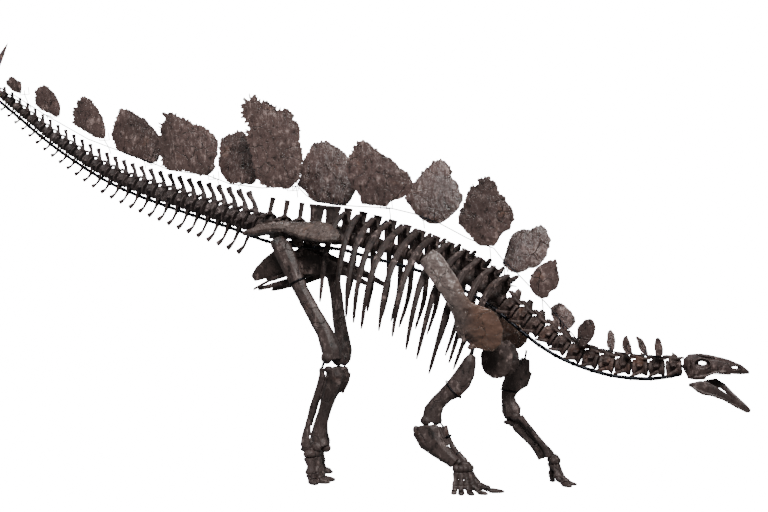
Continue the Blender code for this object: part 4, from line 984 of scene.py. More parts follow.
# ends and crests of the limb bones, as (x, z); the two sides stand in different steps.
# A longer entry is a ridge's station: (x, z, out, half wide, half deep).
HIP_END = {RIGHT: (-0.020, 1.578), LEFT: (0.006, 1.578)}
KNEE = {RIGHT: (0.362, 0.832), LEFT: (0.255, 0.815)}
THIGH = {RIGHT: ((0.093, 1.367), (0.149, 1.253)), LEFT: ((0.178, 1.365), (0.205, 1.240))}
SHIN_TOP = {RIGHT: (0.356, 0.748), LEFT: (0.250, 0.730)}
SHIN_FOOT = {RIGHT: (0.284, 0.268), LEFT: (0.126, 0.256)}
SPLINT_FOOT = {RIGHT: (0.194, 0.278), LEFT: (0.024, 0.276)}
SHOULDER = {RIGHT: (1.290, 0.838), LEFT: (1.490, 0.797)}
CREST = {RIGHT: ((1.302, 0.778), (1.290, 0.712), (1.238, 0.660)),
         LEFT: ((1.526, 0.730), (1.494, 0.652), (1.440, 0.612))}
ELBOW = {RIGHT: (1.044, 0.470), LEFT: (1.407, 0.460)}
ULNA_END = {RIGHT: ((1.130, 0.290, 0.290, 0.022, 0.030), (1.185, 0.236, 0.288, 0.020, 0.026),
                    (1.214, 0.204, 0.286, 0.024, 0.034), (1.222, 0.192, 0.286, 0.018, 0.026)),
            LEFT: ((1.560, 0.270, 0.290, 0.020, 0.024), (1.618, 0.212, 0.290, 0.020, 0.036),
                   (1.630, 0.196, 0.290, 0.016, 0.026))}
RADIUS_END = {RIGHT: ((1.205, 0.262, 0.258, 0.016, 0.018), (1.244, 0.214, 0.262, 0.020, 0.026),
                      (1.252, 0.202, 0.262, 0.014, 0.020)),
              LEFT: ((1.620, 0.270, 0.262, 0.016, 0.018), (1.664, 0.214, 0.264, 0.020, 0.026),
                     (1.672, 0.202, 0.264, 0.014, 0.020))}
FOREARM_WEB = {RIGHT: ((1.084, 0.420, 0.276, 0.012, 0.014), (1.110, 0.363, 0.276, 0.012, 0.014),
                       (1.141, 0.306, 0.274, 0.010, 0.010)),
               LEFT: ((1.508, 0.358, 0.276, 0.012, 0.014), (1.554, 0.319, 0.276, 0.012, 0.014),
                      (1.592, 0.282, 0.276, 0.010, 0.010))}
ELBOW_POINT = {RIGHT: (0.952, 0.402), LEFT: (1.392, 0.402)}
# thin crest down the rear of the shin bone: share of its length, half depth
SHIN_CREST = ((0.08, 0.012), (0.20, 0.014), (0.32, 0.013), (0.42, 0.011), (0.52, 0.009),
              (0.64, 0.008), (0.74, 0.010))
SHIN_CREST_BACK = (0.019, 0.102)   # behind the bone's axis at its top and at its foot


def shin_crest(side):
    """The crest that closes most of the gap between the shin bone and the splint bone."""
    line = []
    for share, deep in SHIN_CREST:
        x = blend((SHIN_TOP[side][0], SHIN_FOOT[side][0]), share) - blend(SHIN_CREST_BACK, share)
        z = blend((SHIN_TOP[side][1], SHIN_FOOT[side][1]), share)
        line.append((x, z, 0.236, 0.008, deep))
    return ridge(side, *line)


def build_thigh(side, label, finish):
    x, z = HIP_END[side]
    knee_x, knee_z = KNEE[side]
    high, low = THIGH[side]
    side_bone("femur", label, finish, "bone_dark", (
        knob(side, x + 0.006, z, 0.186, (0.040, 0.036, 0.036)),
        knob(side, x - 0.008, z - 0.020, 0.248, (0.034, 0.026, 0.040)),
        ridge(side, (*high, 0.262, 0.006, 0.012), (*low, 0.256, 0.005, 0.009)),
        knob(side, knee_x - 0.026, knee_z - 0.004, 0.250, (0.042, 0.028, 0.044)),
        knob(side, knee_x + 0.024, knee_z - 0.014, 0.184, (0.044, 0.030, 0.046))))


def build_shin(side, label, finish):
    x, z = SHIN_TOP[side]
    foot_x, foot_z = SHIN_FOOT[side]
    side_bone("tibia", label, finish, "bone_dark", (
        shin_crest(side),
        knob(side, x - 0.020, z + 0.004, 0.222, (0.034, 0.024, 0.024)),
        knob(side, x + 0.016, z + 0.002, 0.178, (0.040, 0.028, 0.022)),
        ridge(side, (x + 0.054, z - 0.018, 0.205, 0.009, 0.018),
              (x + 0.044, z - 0.080, 0.206, 0.008, 0.016),
              (x + 0.008, z - 0.160, 0.204, 0.005, 0.010)),
        knob(side, foot_x - 0.030, foot_z - 0.010, 0.226, (0.038, 0.024, 0.034)),
        knob(side, foot_x + 0.018, foot_z - 0.018, 0.182, (0.036, 0.028, 0.030))))


def build_splint(side, label, finish):
    top_x, top_z = SHIN_TOP[side]
    x, z = SPLINT_FOOT[side]
    side_bone("fibula", label, finish, "bone_dark", (
        ridge(side, (top_x - 0.042, top_z - 0.020, 0.262, 0.010, 0.026),
              (x + 0.078, z + 0.300, 0.264, 0.008, 0.018),
              (x + 0.056, z + 0.215, 0.264, 0.008, 0.012),
              (x + 0.030, z + 0.120, 0.266, 0.008, 0.010),
              (x + 0.020, z + 0.060, 0.266, 0.010, 0.026)),
        knob(side, x + 0.006, z - 0.018, 0.262, (0.034, 0.015, 0.030)),
        knob(side, top_x - 0.052, top_z - 0.004, 0.262, (0.018, 0.012, 0.026))), lumps=0.0034)


def build_fore_leg(side, label, finish):
    x, z = SHOULDER[side]
    elbow_x, elbow_z = ELBOW[side]
    high, middle, low = CREST[side]
    side_bone("humerus", label, finish, "bone_dark", (
        knob(side, x, z, 0.276, (0.034, 0.032, 0.024)),
        ridge(side, (*high, 0.300, 0.012, 0.016), (*middle, 0.306, 0.012, 0.018),
              (*low, 0.302, 0.008, 0.014)),
        knob(side, elbow_x - 0.028, elbow_z - 0.012, 0.314, (0.036, 0.028, 0.032)),
        knob(side, elbow_x + 0.026, elbow_z - 0.012, 0.270, (0.038, 0.030, 0.030))))
    x, z = ELBOW_POINT[side]
    side_bone("ulna", label, finish, "bone_dark", (
        knob(side, x, z, 0.315, (0.020, 0.020, 0.028)),
        knob(side, elbow_x - 0.014, elbow_z - 0.056, 0.306, (0.052, 0.024, 0.020)),
        ridge(side, *ULNA_END[side])), lumps=0.0038)
    side_bone("radius", label, finish, "bone_dark", (
        ridge(side, *RADIUS_END[side]),
        ridge(side, *FOREARM_WEB[side])), lumps=0.0034)


LEFT_BLADE_AHEAD = 0.040       # the left shoulder blade stands this much further forward


def build_shoulder(side, label, finishes):
    shift = LEFT_BLADE_AHEAD if side == LEFT else 0.0
    side_bone("scapula", label, finishes["scapula"], "bone_rust", (
        ridge(side, (1.292 + shift, 1.118, 0.368, 0.008, 0.012),
              (1.262 + shift, 1.070, 0.356, 0.010, 0.014),
              (1.250 + shift, 1.005, 0.336, 0.009, 0.016),
              (1.258 + shift, 0.940, 0.308, 0.006, 0.012)),
        knob(side, 1.290 + shift, 0.905, 0.258, (0.030, 0.016, 0.018))), soften=2, lumps=0.0120,
        chips=0.0030)
    side_bone("sternal", label, finishes["dark"], "bone_dark", soften=3, lumps=0.0120)


def build_hip(side, label, finishes):
    side_bone("ilium", label, finishes["rust"], "bone_dark", (
        knob(side, 0.092, 1.562, 0.142, (0.032, 0.020, 0.022)),
        knob(side, -0.066, 1.572, 0.142, (0.030, 0.020, 0.022)),
        ridge(side, (-0.262, 1.640, 0.158, 0.012, 0.014), (-0.200, 1.656, 0.156, 0.015, 0.038),
              (-0.090, 1.666, 0.152, 0.016, 0.048), (0.020, 1.674, 0.148, 0.016, 0.040),
              (0.062, 1.680, 0.146, 0.012, 0.022))), soften=2, lumps=0.0150, chips=0.0060)
    side_bone("pubis", label, finishes["dark"], "bone_rust", (
        knob(side, 0.088, 1.490, 0.154, (0.040, 0.022, 0.030)),
        ridge(side, (-0.217, 1.269, 0.110, 0.009, 0.012), (-0.093, 1.298, 0.114, 0.011, 0.019),
              (0.028, 1.327, 0.118, 0.012, 0.021), (0.144, 1.366, 0.124, 0.012, 0.023),
              (0.240, 1.400, 0.128, 0.012, 0.026)),
        knob(side, 0.565, 1.304, 0.170, (0.018, 0.012, 0.016))), soften=3)
    side_bone("ischium", label, finishes["dark"], "bone_rust", (
        knob(side, 0.012, 1.530, 0.146, (0.040, 0.020, 0.030)),), soften=4)


# ---- hands and feet -------------------------------------------------------------------------
BLOCK_BACK = 0.80              # middle of the ring behind the limb's end, in ring radii
PAW_VOXEL = 0.0028
BULK_LEAST, BULK_PER_STRIDE = 0.86, 0.13
# stride scales each digit's reach (knuckle, rest and tip); turn faces the fan to one side
HAND = {"radius": 0.050, "height": 0.026, "spread": math.radians(150),
        "stride": {RIGHT: (0.5, 0.7, 0.9, 1.3, 2.1), LEFT: (1.5, 1.3, 1.0, 0.7, 0.5)},
        "turn": {RIGHT: math.radians(-42), LEFT: math.radians(25)},
        "centre": {RIGHT: (1.262, 0.165, 0.268), LEFT: (1.688, 0.165, 0.268)},
        "reach": (0.024, 0.060, 0.042), "bulk": 0.0255, "heel": 0.0}
FOOT = {"radius": 0.082, "height": 0.030, "spread": math.radians(96),
        "stride": {RIGHT: (0.8, 1.0, 1.2), LEFT: (1.2, 1.0, 0.8)},
        "turn": {RIGHT: 0.0, LEFT: 0.0},
        "centre": {RIGHT: (0.218, 0.205, 0.214), LEFT: (0.058, 0.205, 0.214)},
        "reach": (0.020, 0.040, 0.070), "bulk": 0.0385, "heel": 0.050}


def digit(root, outward, reach, bulk, heel):
    """Metapodial, toe bone and blunt hoof, each its own closed form."""
    low, mid, toe = reach
    level = Vector((-outward.y, outward.x, 0.0))
    knuckle = root + outward * low - UP * (root.z - GROUND) * 0.60
    rest = Vector((root.x, root.y, GROUND)) + outward * mid
    waist = root.lerp(knuckle, 0.5) + outward * bulk * 0.25
    metapodial = bmesh.new()
    rod(metapodial, [(root + UP * 0.004, bulk * 1.02, bulk * 0.95), (root, bulk * 1.08, bulk),
                     (waist, bulk * 0.68, bulk * 0.68),
                     (root.lerp(knuckle, 0.86), bulk * 1.02, bulk * 1.02),
                     (knuckle, bulk * 0.88, bulk * 0.84)], level)
    end = rest + UP * bulk * 0.85
    toe_bone = bmesh.new()
    rod(toe_bone, [(knuckle, bulk * 0.92, bulk * 0.84),
                   (knuckle.lerp(end, 0.25), bulk * 0.96, bulk * 0.84),
                   (knuckle.lerp(end, 0.60), bulk * 0.76, bulk * 0.66),
                   (knuckle.lerp(end, 0.97), bulk * 0.88, bulk * 0.74)], level)
    nose = rest + outward * toe + UP * bulk * 0.36
    back = rest + UP * bulk * 0.62 - outward * bulk * 0.15
    hoof = bmesh.new()
    rod(hoof, [(back, bulk * 0.92, bulk * 0.56),
               (back.lerp(nose, 0.30), bulk * 0.90, bulk * 0.58),
               (back.lerp(nose, 0.72), bulk * 0.74, bulk * 0.44),
               (nose, bulk * 0.34, bulk * 0.24)], level)
    if heel:
        ball(hoof, rest - outward * heel * 0.5 + UP * bulk * 0.45,
             (heel * 0.6, bulk * 0.7, bulk * 0.42))
    return [carve(metapodial, PAW_VOXEL, 2, 0.0036, 0.0014),
            carve(toe_bone, PAW_VOXEL, 2, 0.0030, 0.0012),
            carve(hoof, PAW_VOXEL, 2, 0.0026, 0.0010)]


def paw_mesh(spec, side):
    """Ring of small wrist or ankle bones with a fan of digits under it."""
    x, z, out = spec["centre"][side]
    radius, height = spec["radius"], spec["height"]
    middle = Vector((x - radius * BLOCK_BACK, side * out, z))
    strides = spec["stride"][side]
    count = len(strides)
    meshes = []
    for k, stride in enumerate(strides):
        angle = ((k + 0.5) / count - 0.5) * spec["spread"] + spec["turn"][side]
        outward = Vector((math.cos(angle), math.sin(angle), 0.0))
        root = middle + outward * radius
        bulk = spec["bulk"] * (BULK_LEAST + BULK_PER_STRIDE * stride)
        pebble = bmesh.new()
        ball(pebble, root + UP * 0.012, (bulk * 1.15, bulk * 1.05, height * 1.05))
        meshes.append(carve(pebble, PAW_VOXEL, 1, 0.0050, 0.0016))
        reach = [length * stride for length in spec["reach"]]
        heel = spec["heel"] if k == count // 2 else 0.0
        meshes += digit(root - UP * height * 0.55, outward, reach, bulk, heel)
    block = bmesh.new()
    ball(block, middle + AHEAD * radius * 0.60 + UP * 0.036,
         (radius * 0.75, radius * 0.6, height * 0.8))
    meshes.append(carve(block, PAW_VOXEL, 1, 0.0060, 0.0016))
    return joined(meshes)


# ---- head -----------------------------------------------------------------------------------
SKULL_VOXEL, JAW_VOXEL = 0.0023, 0.0022
RIM_STEPS = 14
# rims as (x, z, half long, half tall, out, thickness): the eye's outer and inner, the nostril's
SKULL_RIMS = ((2.628, 0.818, 0.047, 0.031, 0.0655, 0.0050),
              (2.622, 0.818, 0.036, 0.024, 0.0300, 0.0130),
              (2.812, 0.795, 0.031, 0.016, 0.0360, 0.0028),
              (2.806, 0.796, 0.026, 0.014, 0.0140, 0.0085))
# bars as (x, out, z, half wide, half deep): the jaw joint's post and its edge, cheek and brow
SKULL_BARS = (((2.562, 0.040, 0.842, 0.0200, 0.0140), (2.574, 0.044, 0.790, 0.0190, 0.0150),
               (2.568, 0.046, 0.742, 0.0170, 0.0160)),
              ((2.566, 0.066, 0.842, 0.0050, 0.0070), (2.578, 0.070, 0.790, 0.0040, 0.0050),
               (2.570, 0.068, 0.742, 0.0060, 0.0090)),
              ((2.560, 0.060, 0.734, 0.0060, 0.0080), (2.640, 0.064, 0.744, 0.0050, 0.0080),
               (2.700, 0.054, 0.770, 0.0045, 0.0070), (2.760, 0.043, 0.772, 0.0040, 0.0050)),
              ((2.600, 0.050, 0.868, 0.0080, 0.0060), (2.650, 0.056, 0.862, 0.0080, 0.0070),
               (2.700, 0.048, 0.854, 0.0060, 0.0050)))
# each ramus as (x, z, out, half tall); the far one sits a little higher on the mount
RAMI = {RIGHT: ((2.550, 0.694, 0.066, 0.010), (2.572, 0.692, 0.068, 0.017),
                (2.604, 0.686, 0.067, 0.036), (2.640, 0.676, 0.063, 0.043),
                (2.690, 0.658, 0.057, 0.033), (2.748, 0.628, 0.047, 0.024),
                (2.822, 0.582, 0.030, 0.022), (2.872, 0.552, 0.012, 0.018),
                (2.886, 0.544, 0.004, 0.010)),
        LEFT: ((2.600, 0.690, 0.066, 0.010), (2.645, 0.700, 0.065, 0.020),
               (2.690, 0.703, 0.060, 0.026), (2.735, 0.682, 0.052, 0.020),
               (2.787, 0.633, 0.042, 0.015), (2.852, 0.572, 0.020, 0.017),
               (2.884, 0.546, 0.004, 0.012))}
TEETH = 17
TOOTH = ((0.0018, 0.0026), (0.0020, 0.0030), (0.0008, 0.0012))   # half sizes from root to tip
UPPER_TEETH = ((2.664, 0.0500, 0.762), (2.779, 0.0325, 0.7587))
LOWER_TEETH = ((RIGHT, (2.676, 0.058, 0.698), (2.800, 0.038, 0.620)),
               (LEFT, (2.716, 0.058, 0.712), (2.808, 0.038, 0.632)))


def rim(bm, side, x, z, half_long, half_tall, out, thick):
    """A raised rim round an opening in the side of the skull."""
    points = []
    for k in range(RIM_STEPS + 1):
        angle = 2 * math.pi * k / RIM_STEPS
        points.append((Vector((x + half_long * math.cos(angle), side * out,
                               z + half_tall * math.sin(angle))), thick, thick))
    rod(bm, points, SIDE, 6)


def teeth_mesh(rows, rises):
    """Pegs in rows between two places (x, out, z) of a side; rises run from root to tip."""
    bm = bmesh.new()
    for side, first, last in rows:
        for k in range(TEETH):
            x, out, z = (blend(pair, k / (TEETH - 1)) for pair in zip(first, last))
            rod(bm, [(Vector((x, side * out, z + rise)), wide, deep)
                     for rise, (wide, deep) in zip(rises, TOOTH)], SIDE, 6)
    mesh = bpy.data.meshes.new("teeth")
    bm.to_mesh(mesh)
    bm.free()
    return mesh


def skull_mesh():
    """Long low head with rimmed openings, a cheek bar, a tooth row and a toothless beak."""
    bm = node_form("skull")
    for side in (RIGHT, LEFT):
        for sizes in SKULL_RIMS:
            rim(bm, side, *sizes)
        for bar in SKULL_BARS:
            rod(bm, [(Vector((x, side * out, z)), wide, deep) for x, out, z, wide, deep in bar],
                SIDE, 8)
    ball(bm, Vector((2.520, 0.0, 0.798)), (0.016, 0.018, 0.016))
    rows = [(side, *UPPER_TEETH) for side in (RIGHT, LEFT)]
    return joined([carve(bm, SKULL_VOXEL, 2, 0.0022, 0.0012),
                   teeth_mesh(rows, (0.006, -0.003, -0.008))])


def mandible_mesh():
    """Two rami with a high rear rise and a raised lower rim, meeting in a horny front."""
    bm = bmesh.new()
    for side, stations in RAMI.items():
        rod(bm, [(Vector((x, side * out, z)), 0.0070, tall) for x, z, out, tall in stations],
            SIDE, 12)
        rod(bm, [(Vector((x, side * (out + 0.005), z - tall * 0.72)), 0.0045, 0.0065)
                 for x, z, out, tall in stations[1:-1]], SIDE, 8)
    return joined([carve(bm, JAW_VOXEL, 2, 0.0026, 0.0014),
                   teeth_mesh(LOWER_TEETH, (-0.014, -0.003, 0.003))])


# ---- steelwork ------------------------------------------------------------------------------
BAR_TAIL_STEPS = 14
COLLARS = 48
COLLAR_HALF = 0.006
COLLAR = ((-1.0, 1.12), (-0.7, 1.28), (0.7, 1.28), (1.0, 1.12))   # along, radius in bar radii


def bar_points():
    """The bar's course: under the tail, then on through the trunk and under the neck."""
    points = []
    for k in range(BAR_TAIL_STEPS):
        share = BAR_REACH * (1.0 - k / BAR_TAIL_STEPS)
        at = TAIL.place(share * TAIL_COUNT)
        points.append(at(0.0, 0.0, -(tail_radius(share) * 0.85 + BAR_DROP)))
    return points + [Vector((x, 0.0, z)) for x, z in BAR_TRUNK]


def wire(bm, points, radius, sides=8):
    """A round wire or rod through the points."""
    rod(bm, [(point, radius, radius) for point in points], SIDE, sides)


def bar_mesh():
    """Round bar with a row of small collars."""
    bm = bmesh.new()
    points = bar_points()
    wire(bm, through(points, 4), BAR_RADIUS, 14)
    track = Track(points)
    for k in range(COLLARS):
        share = (k + 0.5) / COLLARS
        centre, along = track.at(share), track.along(share)
        rod(bm, [(centre + along * COLLAR_HALF * a, BAR_RADIUS * w, BAR_RADIUS * w)
                 for a, w in COLLAR], SIDE, 14)
    return bm


def along_line(points, x):
    """Height of a broken line of (x, z) points at x."""
    for (ax, az), (bx, bz) in zip(points, points[1:]):
        if x <= bx:
            return blend((az, bz), max(0.0, (x - ax) / (bx - ax)))
    return points[-1][1]


# course of the wire that carries the plates, as (x, z)
WIRE_LINE = ((-2.288, 2.730), (-1.995, 2.557), (-1.615, 2.354), (-1.307, 2.239), (-1.062, 2.150),
             (-0.950, 2.104), (-0.644, 2.053), (-0.474, 1.988), (-0.233, 1.952), (0.025, 1.955),
             (0.091, 1.893), (0.156, 1.848), (0.356, 1.815), (0.684, 1.789), (0.854, 1.745),
             (1.028, 1.676), (1.206, 1.580), (1.374, 1.515), (1.432, 1.441), (1.520, 1.359),
             (1.695, 1.179), (1.926, 0.910), (2.119, 0.880), (2.266, 0.862), (2.429, 0.850))
# how far each plate's foot reaches behind and ahead of its lowest point, in mm
PLATE_EDGES = ((-65, 75), (-65, 110), (-80, 150), (-30, 120), (-30, 145), (10, 125), (-25, 150),
               (-20, 135), (-10, 85), (45, 80), (45, 80), (80, 10), (45, 20), (-10, 40), (10, 5),
               (10, 15), (5, 20), (5, 10), (15, 20))
WIRE_SIDE = -0.030             # the wire runs a little to the right of the spines
WIDE_FOOT = 60                 # plates whose foot reaches further ahead have two more clips
CLIP_APART = 0.040


def plate_foot(index):
    """Middle of a plate's foot as (x, z)."""
    x, z, _ = PLATES[index - 1][0]
    behind, ahead = PLATE_EDGES[index - 1]
    return x + (ahead - behind) / 2000, z + WIRE_LIFT


def wires_mesh():
    """Signal between the two rows of plates, with arms to their feet and posts to the spines."""
    bm = bmesh.new()
    wire(bm, [Vector((x, WIRE_SIDE, z)) for x, z in WIRE_LINE], WIRE_RADIUS, 6)
    for index in range(1, len(PLATES) + 1):
        out = SIDE * plate_side(index)
        x, z = plate_foot(index)
        near = Vector((x, WIRE_SIDE, along_line(WIRE_LINE, x)))
        low = Vector((x, 0.0, along_line(BACK_LINE, x) - POST_DROP))
        foot = Vector((x, 0.0, z)) + out * WIRE_OUT
        wire(bm, [near, near.lerp(low, 0.5) + SIDE * 0.005, low], WIRE_RADIUS * 0.9, 6)
        wire(bm, [near, near.lerp(foot, 0.6), foot, foot + UP * 0.030 + out * 0.006],
             WIRE_RADIUS * 0.9, 6)
        if PLATE_EDGES[index - 1][1] > WIDE_FOOT:
            for k in (-1, 1):
                clip = foot + AHEAD * k * CLIP_APART
                wire(bm, [foot, clip, clip + UP * 0.050 + out * 0.012], WIRE_RADIUS * 0.8, 6)
    return bm


# bands as (centre, direction of the bone, half sizes round it, width), all as (x, y, z)
STRAPS = (((0.120, -0.227, 1.312), (0.070, 0.003, -0.145), (0.043, 0.060), 0.012),
          ((1.186, -0.295, 0.650), (-0.055, 0.0, -0.050), (0.040, 0.070), 0.010),
          ((1.388, 0.295, 0.610), (-0.010, 0.0, -0.070), (0.040, 0.060), 0.010),
          ((1.135, -0.250, 0.358), (0.028, 0.0, -0.054), (0.022, 0.026), 0.012),
          ((1.196, -0.250, 0.256), (0.036, 0.0, -0.050), (0.022, 0.027), 0.012))
STRAP_STEPS = 24
STRAP_THICK = 0.0022
# rods between the ends of two bones as (end, radius, points (ahead, out, up) from that end)
LINK_RODS = ((KNEE, 0.0090, ((-0.034, 0.262, -0.010), (-0.052, 0.270, -0.078))),
             (KNEE, 0.0080, ((0.030, 0.190, -0.010), (0.026, 0.190, -0.085))),
             (ELBOW, 0.0080, ((-0.020, 0.305, -0.008), (-0.020, 0.312, -0.055))),
             (ELBOW, 0.0060, ((0.040, 0.280, -0.004), (0.068, 0.256, -0.055))),
             (SHIN_FOOT, 0.0090, ((-0.010, 0.205, 0.010), (-0.050, 0.214, -0.070))),
             (SHOULDER, 0.0070, ((0.006, 0.272, 0.010), (0.020, 0.262, 0.075))))
# rods from the bar to the hips, shoulders and breast plates as (radius, sides, (x, out, z))
GIRDLE_RODS = ((0.0090, 12, ((0.016, 0.060, 1.585), (0.016, 0.200, 1.570))),
               (0.0060, 8, ((1.330, 0.100, 1.150), (1.335, 0.250, 1.110), (1.330, 0.330, 1.075))),
               (0.0060, 8, ((1.330, 0.0, 1.166), (1.330, 0.060, 1.158), (1.330, 0.100, 1.150))),
               (0.0045, 8, ((1.392, 0.085, 0.930), (1.380, 0.060, 1.010), (1.360, 0.0, 1.120))))


def strap(bm, centre, direction, halves, width):
    """A flat band round a bone, square to a direction."""
    half_u, half_v = halves
    along = Vector(direction).normalized()
    section = turned(Vector(centre), along, SIDE, half_u, half_v)
    points = []
    for k in range(STRAP_STEPS + 1):
        angle = 2 * math.pi * k / STRAP_STEPS
        points.append(section @ Vector((math.cos(angle), math.sin(angle), 0.0)))
    rod(bm, [(point, width / 2, STRAP_THICK) for point in points], along, 4)


def clamps_mesh():
    """Bands and link rods that hold the limb bones to one another."""
    bm = bmesh.new()
    for sizes in STRAPS:
        strap(bm, *sizes)
    for side in (RIGHT, LEFT):
        for end, radius, steps in LINK_RODS:
            x, z = end[side]
            wire(bm, [Vector((x + ahead, side * out, z + up)) for ahead, out, up in steps], radius)
        for radius, sides, places in GIRDLE_RODS:
            wire(bm, [Vector((x, side * out, z)) for x, out, z in places], radius, sides)
    return bm


# ---- assembly -------------------------------------------------------------------------------
NEAR_BLACK = (0.0050, 0.0034, 0.0030)


def build_finishes():
    return {
        "plate": bone_finish(
            "plate_bone", dark=(0.012, 0.0078, 0.0071), body=(0.056, 0.0355, 0.0322),
            pale=(0.190, 0.138, 0.128), stain=(0.086, 0.046, 0.033), stain_from=0.60,
            gloss=0.30, grain=(46.0, 46.0, 13.0), relief=0.0110, shine=0.36),
        "spike": bone_finish(
            "spike_bone", dark=(0.012, 0.008, 0.007), body=(0.042, 0.027, 0.024),
            pale=(0.120, 0.086, 0.076), stain=(0.062, 0.030, 0.020), stain_from=0.62,
            gloss=0.48),
        "dark": bone_finish(
            "dark_bone", dark=NEAR_BLACK, body=(0.023, 0.0152, 0.0137),
            pale=(0.135, 0.100, 0.093), stain=(0.050, 0.0235, 0.0160), stain_from=0.60,
            gloss=0.58),
        "limb": bone_finish(
            "limb_bone", dark=NEAR_BLACK, body=(0.036, 0.0246, 0.0228),
            pale=(0.135, 0.104, 0.098), stain=(0.062, 0.0285, 0.0190), stain_from=0.60,
            gloss=0.50, grain=(30.0, 30.0, 6.0), relief=0.0055, shine=0.26),
        "tail": bone_finish(
            "tail_bone", dark=NEAR_BLACK, body=(0.024, 0.0168, 0.0160),
            pale=(0.145, 0.114, 0.109), stain=(0.060, 0.0290, 0.0190), stain_from=0.64,
            gloss=0.56),
        "neck": bone_finish(
            "neck_bone", dark=NEAR_BLACK, body=(0.034, 0.0220, 0.0195),
            pale=(0.165, 0.118, 0.106), stain=(0.082, 0.0385, 0.0250), stain_from=0.54,
            gloss=0.55, relief=0.0045),
        "rust": bone_finish(
            "rust_bone", dark=(0.012, 0.0078, 0.0066), body=(0.055, 0.038, 0.033),
            pale=(0.190, 0.148, 0.135), stain=(0.086, 0.046, 0.030), stain_from=0.56,
            gloss=0.42, grain=(30.0, 30.0, 9.0), relief=0.0080, shine=0.30),
        "scapula": bone_finish(
            "shoulder_bone", dark=(0.018, 0.0130, 0.0120), body=(0.066, 0.0495, 0.0450),
            pale=(0.200, 0.164, 0.152), stain=(0.078, 0.040, 0.026), stain_from=0.66,
            gloss=0.34, grain=(24.0, 40.0, 9.0), relief=0.0085, shine=0.50,
            rust_ahead=(1.38, 1.54)),
        "head": bone_finish(
            "head_bone", dark=(0.008, 0.0050, 0.0047), body=(0.032, 0.0205, 0.0190),
            pale=(0.125, 0.092, 0.086), stain=(0.052, 0.0260, 0.0190), stain_from=0.62,
            gloss=0.44, grain=(40.0, 40.0, 22.0), relief=0.0024, shine=0.26),
        "steel": steel_finish("dark_steel", (0.014, 0.015, 0.018), (0.028, 0.015, 0.010)),
    }


def build_armour(finishes):
    for index, spec in enumerate(PLATES, 1):
        name = f"plate_{index:02d}"
        piece(plate_mesh(index, spec), "bony_" + name, finishes["plate"], "plate_bone", name)
    for pair in (1, 2):
        for _, label in SIDES:
            node = f"tail_spike_{pair}_{label}"
            worked(node, node + "_bone", finishes["spike"], "spike_bone", SPIKE_VOXEL, soften=5,
                   lumps=0.0030)


def build_column(finishes):
    for node, first, last in TAIL_RUNS:
        bones = joined([tail_vertebra(index) for index in range(first, last)])
        slot = "bone_rust" if node == "tail_base" else "bone_dark"
        finish = finishes["tail"] if node != "tail_end" else finishes["dark"]
        piece(bones, node + "_bones", finish, slot, node)
    run = Run(SACRUM_FROM, TAIL_FROM, SACRUM_COUNT)
    piece(joined([sacral_vertebra(run, k) for k in range(SACRUM_COUNT)]), "sacrum_bones",
          finishes["dark"], "bone_dark", "sacrum")
    run = Run(TRUNK_FROM, SACRUM_FROM, TRUNK_COUNT)
    piece(joined([dorsal_vertebra(run, k) for k in range(TRUNK_COUNT)]), "back_bones",
          finishes["dark"], "bone_dark", "trunk_right", "trunk_left")
    for side, label in SIDES:
        piece(joined([rib_mesh(run, k, side) for k in range(TRUNK_COUNT)]), "ribs_" + label,
              finishes["dark"], "bone_dark", "trunk_" + label)
    run = Run(NECK_FROM, TRUNK_FROM, NECK_COUNT)
    piece(joined([neck_vertebra(run, k) for k in range(NECK_COUNT)]), "neck_bones",
          finishes["neck"], "bone_dark", "neck")


def build_limbs(finishes):
    limb = finishes["limb"]
    for side, label in SIDES:
        build_thigh(side, label, limb)
        build_shin(side, label, limb)
        build_splint(side, label, limb)
        build_fore_leg(side, label, limb)
        build_shoulder(side, label, finishes)
        build_hip(side, label, finishes)
        piece(paw_mesh(HAND, side), "hand_bones_" + label, limb, "bone_dark", "hand_" + label)
        piece(paw_mesh(FOOT, side), "foot_bones_" + label, limb, "bone_dark", "foot_" + label)


def build_head(finish):
    piece(skull_mesh(), "skull_bones", finish, "head_bone", "skull")
    piece(mandible_mesh(), "jaw_bones", finish, "head_bone", "mandible")


def build_steel(finish):
    piece(bar_mesh(), "spine_bar", finish, "steel", "support_bar")
    piece(wires_mesh(), "plate_wirework", finish, "steel", "plate_wires")
    piece(clamps_mesh(), "limb_clamps", finish, "steel")


# section of the studio paper as (y, z), and its ends along X; the object stands on z = 0
PAPER = ((14.0, 9.0), (14.0, 1.5), (13.6, 0.5), (12.6, 0.0), (-12.0, 0.0))
PAPER_ENDS = (-14.0, 14.0)
PAPER_GLOW = 16.0


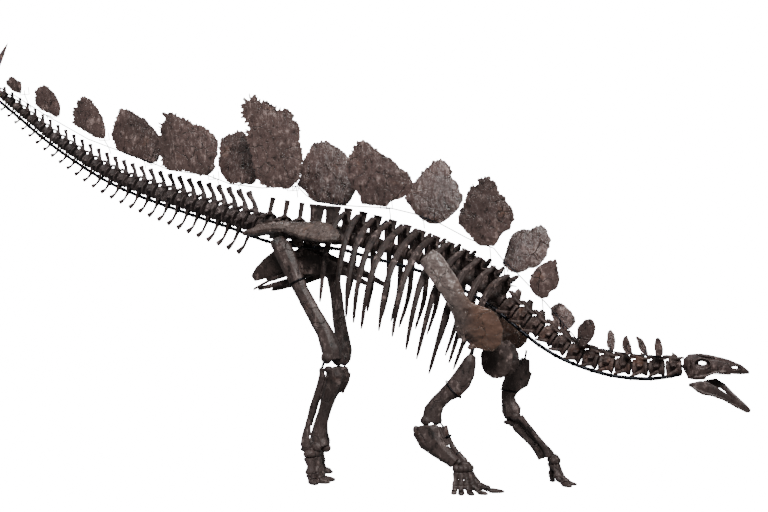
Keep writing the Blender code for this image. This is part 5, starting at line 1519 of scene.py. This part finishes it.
def build_stage():
    """Pale floor that curves up into a backdrop, lit from within so that it stays white."""
    bm = bmesh.new()
    verts = [bm.verts.new((PAPER_ENDS[0], y, z)) for y, z in PAPER]
    edges = [bm.edges.new(pair) for pair in zip(verts, verts[1:])]
    swept = bmesh.ops.extrude_edge_only(bm, edges=edges)["geom"]
    bmesh.ops.translate(bm, vec=AHEAD * (PAPER_ENDS[1] - PAPER_ENDS[0]),
                        verts=[v for v in swept if isinstance(v, bmesh.types.BMVert)])
    bmesh.ops.recalc_face_normals(bm, faces=bm.faces)
    mesh = bpy.data.meshes.new("studio_floor")
    bm.to_mesh(mesh)
    bm.free()
    paper = Finish("studio_paper")
    paper.set(Base_Color=opaque(grey(0.90)), Roughness=0.9, Emission_Color=opaque(grey(1.0)),
              Emission_Strength=PAPER_GLOW)
    mesh.materials.append(paper.material)
    mesh.polygons.foreach_set("use_smooth", [True] * len(mesh.polygons))
    floor = bpy.data.objects.new("studio_floor", mesh)
    bpy.context.scene.collection.objects.link(floor)
    floor.visible_diffuse = False
    floor.visible_glossy = False


# studio lamps as (name, place, target, size, power, colour)
WHITE = (1.0, 1.0, 1.0)
LAMPS = (("key", (3.5, -6.5, 6.5), (0.0, 0.0, 1.6), (2.4, 2.0), 1350.0, (1.0, 0.98, 0.96)),
         ("top", (-1.0, -1.5, 7.0), (-0.2, 0.0, 1.6), (5.0, 3.0), 190.0, WHITE),
         ("back", (-3.5, 7.5, 4.5), (0.0, 0.0, 1.4), (3.0, 3.0), 170.0, WHITE))
WORLD_STRENGTH = 0.34
SENSOR_WIDTH = 36.0


def soft_light(name, place, target, size, power, colour):
    lamp = bpy.data.lights.new(name, "AREA")
    lamp.shape = "RECTANGLE"
    lamp.size, lamp.size_y = size
    lamp.energy = power
    lamp.color = colour
    obj = bpy.data.objects.new(name, lamp)
    obj.location = place
    obj.rotation_euler = (Vector(target) - Vector(place)).to_track_quat("-Z", "Y").to_euler()
    bpy.context.scene.collection.objects.link(obj)


def build_light():
    world = bpy.data.worlds.new("studio")
    world.use_nodes = True
    background = world.node_tree.nodes["Background"]
    background.inputs["Color"].default_value = opaque(WHITE)
    background.inputs["Strength"].default_value = WORLD_STRENGTH
    bpy.context.scene.world = world
    for lamp in LAMPS:
        soft_light(*lamp)


def build_camera():
    lens = bpy.data.cameras.new("camera")
    lens.lens = CAMERA_LENS
    lens.sensor_width = SENSOR_WIDTH
    camera = bpy.data.objects.new("camera", lens)
    camera.location = CAMERA_PLACE
    camera.rotation_euler = CAMERA_TURN
    bpy.context.scene.collection.objects.link(camera)
    bpy.context.scene.camera = camera


finishes = build_finishes()
build_armour(finishes)
build_column(finishes)
build_limbs(finishes)
build_head(finishes["head"])
build_steel(finishes["steel"])
build_stage()
build_light()
build_camera()
